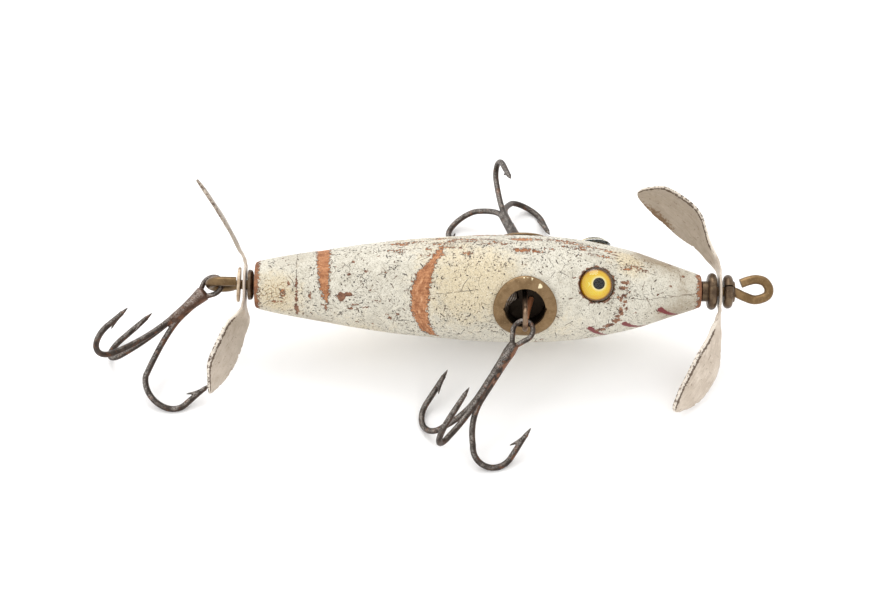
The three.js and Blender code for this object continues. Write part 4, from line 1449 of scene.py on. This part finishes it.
def treble(name, hook, ring, ring_face):
    rough = [
        (point.turn, np.array([(SHANK_OFFSET, 3.0), *hook_line(hook["shank"], point, 3, 7)]))
        for point in hook["points"]
    ]
    eye, down, up, aside = resting(hook, rough, ring, ring_face)
    points, faces = weld(HOOK_VOXEL, HOOK_SMOOTHING, hook_wires(hook, eye, down, up, aside))
    points[:, 2] = np.maximum(points[:, 2], -axis_height)
    node = f"treble_hook_{name}"
    steel = piece(f"{node}_steel", (points, faces), STEEL, stands_for=[node])

    normals = np.empty(len(points) * 3, np.float32)
    steel.data.vertex_normals.foreach_get("vector", normals)
    normals = normals.reshape(-1, 3)
    patchy = cloudy(points, 1.0, 5)
    from_eye = (points - eye) @ down
    on_shank = smoothstep(from_eye, 0.5, 2.5) * smoothstep(-from_eye, -13.0, -9.0)
    rusted = smoothstep(normals @ RUSTY_SIDE + patchy * 0.9, 0.35, 0.8) * (0.06 + 0.28 * on_shank)
    if name == "tail":
        browned = smoothstep(from_eye, 0.8, 2.0) * smoothstep(-from_eye, -10.5, -8.0)
        rusted = np.maximum(rusted * 0.8, 0.13 * browned * (1 + 0.4 * patchy))
    # Painted highlights on faces turned up, left and towards the camera, where the light falls.
    bright = 0.36 * smoothstep(normals @ HIGHLIGHT_SIDE + patchy * 0.3, 0.55, 1.1)
    write_fields(steel, rusted=rusted, bright=bright)


for side in SIDES:
    cup_ring = moved(hanger_frame(side), [(0, 0, ring_height(side))])[0]
    treble(side["name"], side["hook"], cup_ring, LENGTHWISE)
treble("tail", TAIL_HOOK, np.array([TAIL_RING_X, 0, 0]), onwards(TAIL_RING_TURN))


# Floor, light and camera

CAMERA_ELEVATION = 48
CAMERA_DISTANCE = 423
CAMERA_AIM_X = 32.56
CAMERA_AIM_DROP = 2.12
CAMERA_ROLL = 0.84
LENS, SENSOR_WIDTH = 100, 36
FLOOR_SIZE = 3.0  # metres


def floor():
    half = FLOOR_SIZE / 2
    corners = [(-half, -half, 0), (half, -half, 0), (half, half, 0), (-half, half, 0)]
    obj = mesh_object("floor", corners, [(0, 1, 2, 3)])
    material = bpy.data.materials.new("white_floor")
    material.use_nodes = True
    shader = material.node_tree.nodes["Principled BSDF"]
    shader.inputs["Base Color"].default_value = (0.975, 0.968, 0.963, 1)
    shader.inputs["Roughness"].default_value = 0.9
    shader.inputs["Specular IOR Level"].default_value = 0.1
    obj.data.materials.append(material)


def area_light(name, place, aim, size, energy, colour=(1, 1, 1)):
    data = bpy.data.lights.new(name, "AREA")
    data.shape, data.size, data.energy, data.color = "DISK", size, energy, colour
    obj = placed(name, data)
    obj.location = place
    obj.rotation_mode = "QUATERNION"
    obj.rotation_quaternion = (Vector(aim) - Vector(place)).to_track_quat("-Z", "Y")


def lights():
    world = bpy.data.worlds.new("white_room")
    world.use_nodes = True
    sky = world.node_tree.nodes["Background"]
    sky.inputs["Color"].default_value = (1.0, 1.0, 1.0, 1)
    sky.inputs["Strength"].default_value = 1.17
    bpy.context.scene.world = world
    area_light("key", (-0.12, 0.42, 0.62), (0, 0, 0), 0.5, 2.2, (1.0, 0.995, 0.99))
    area_light("fill", (-0.5, -0.35, 0.6), (0, 0, 0), 0.25, 0.5)


def camera():
    data = bpy.data.cameras.new("camera")
    data.lens, data.sensor_width, data.sensor_fit = LENS, SENSOR_WIDTH, "HORIZONTAL"
    data.clip_start, data.clip_end = 0.01, 20
    tilted = Matrix.Rotation(math.radians(90 - CAMERA_ELEVATION), 4, "X")
    rolled = tilted @ Matrix.Rotation(math.radians(CAMERA_ROLL), 4, "Z")
    offset = tilted @ Vector((CAMERA_AIM_X, -CAMERA_AIM_DROP, CAMERA_DISTANCE)) * MM
    obj = placed("camera", data)
    obj.matrix_world = Matrix.Translation(Vector(origin_m) + offset) @ rolled
    bpy.context.scene.camera = obj


floor()
lights()
camera()
bpy.context.scene.view_settings.view_transform = "Standard"

bpy.context.view_layer.update()
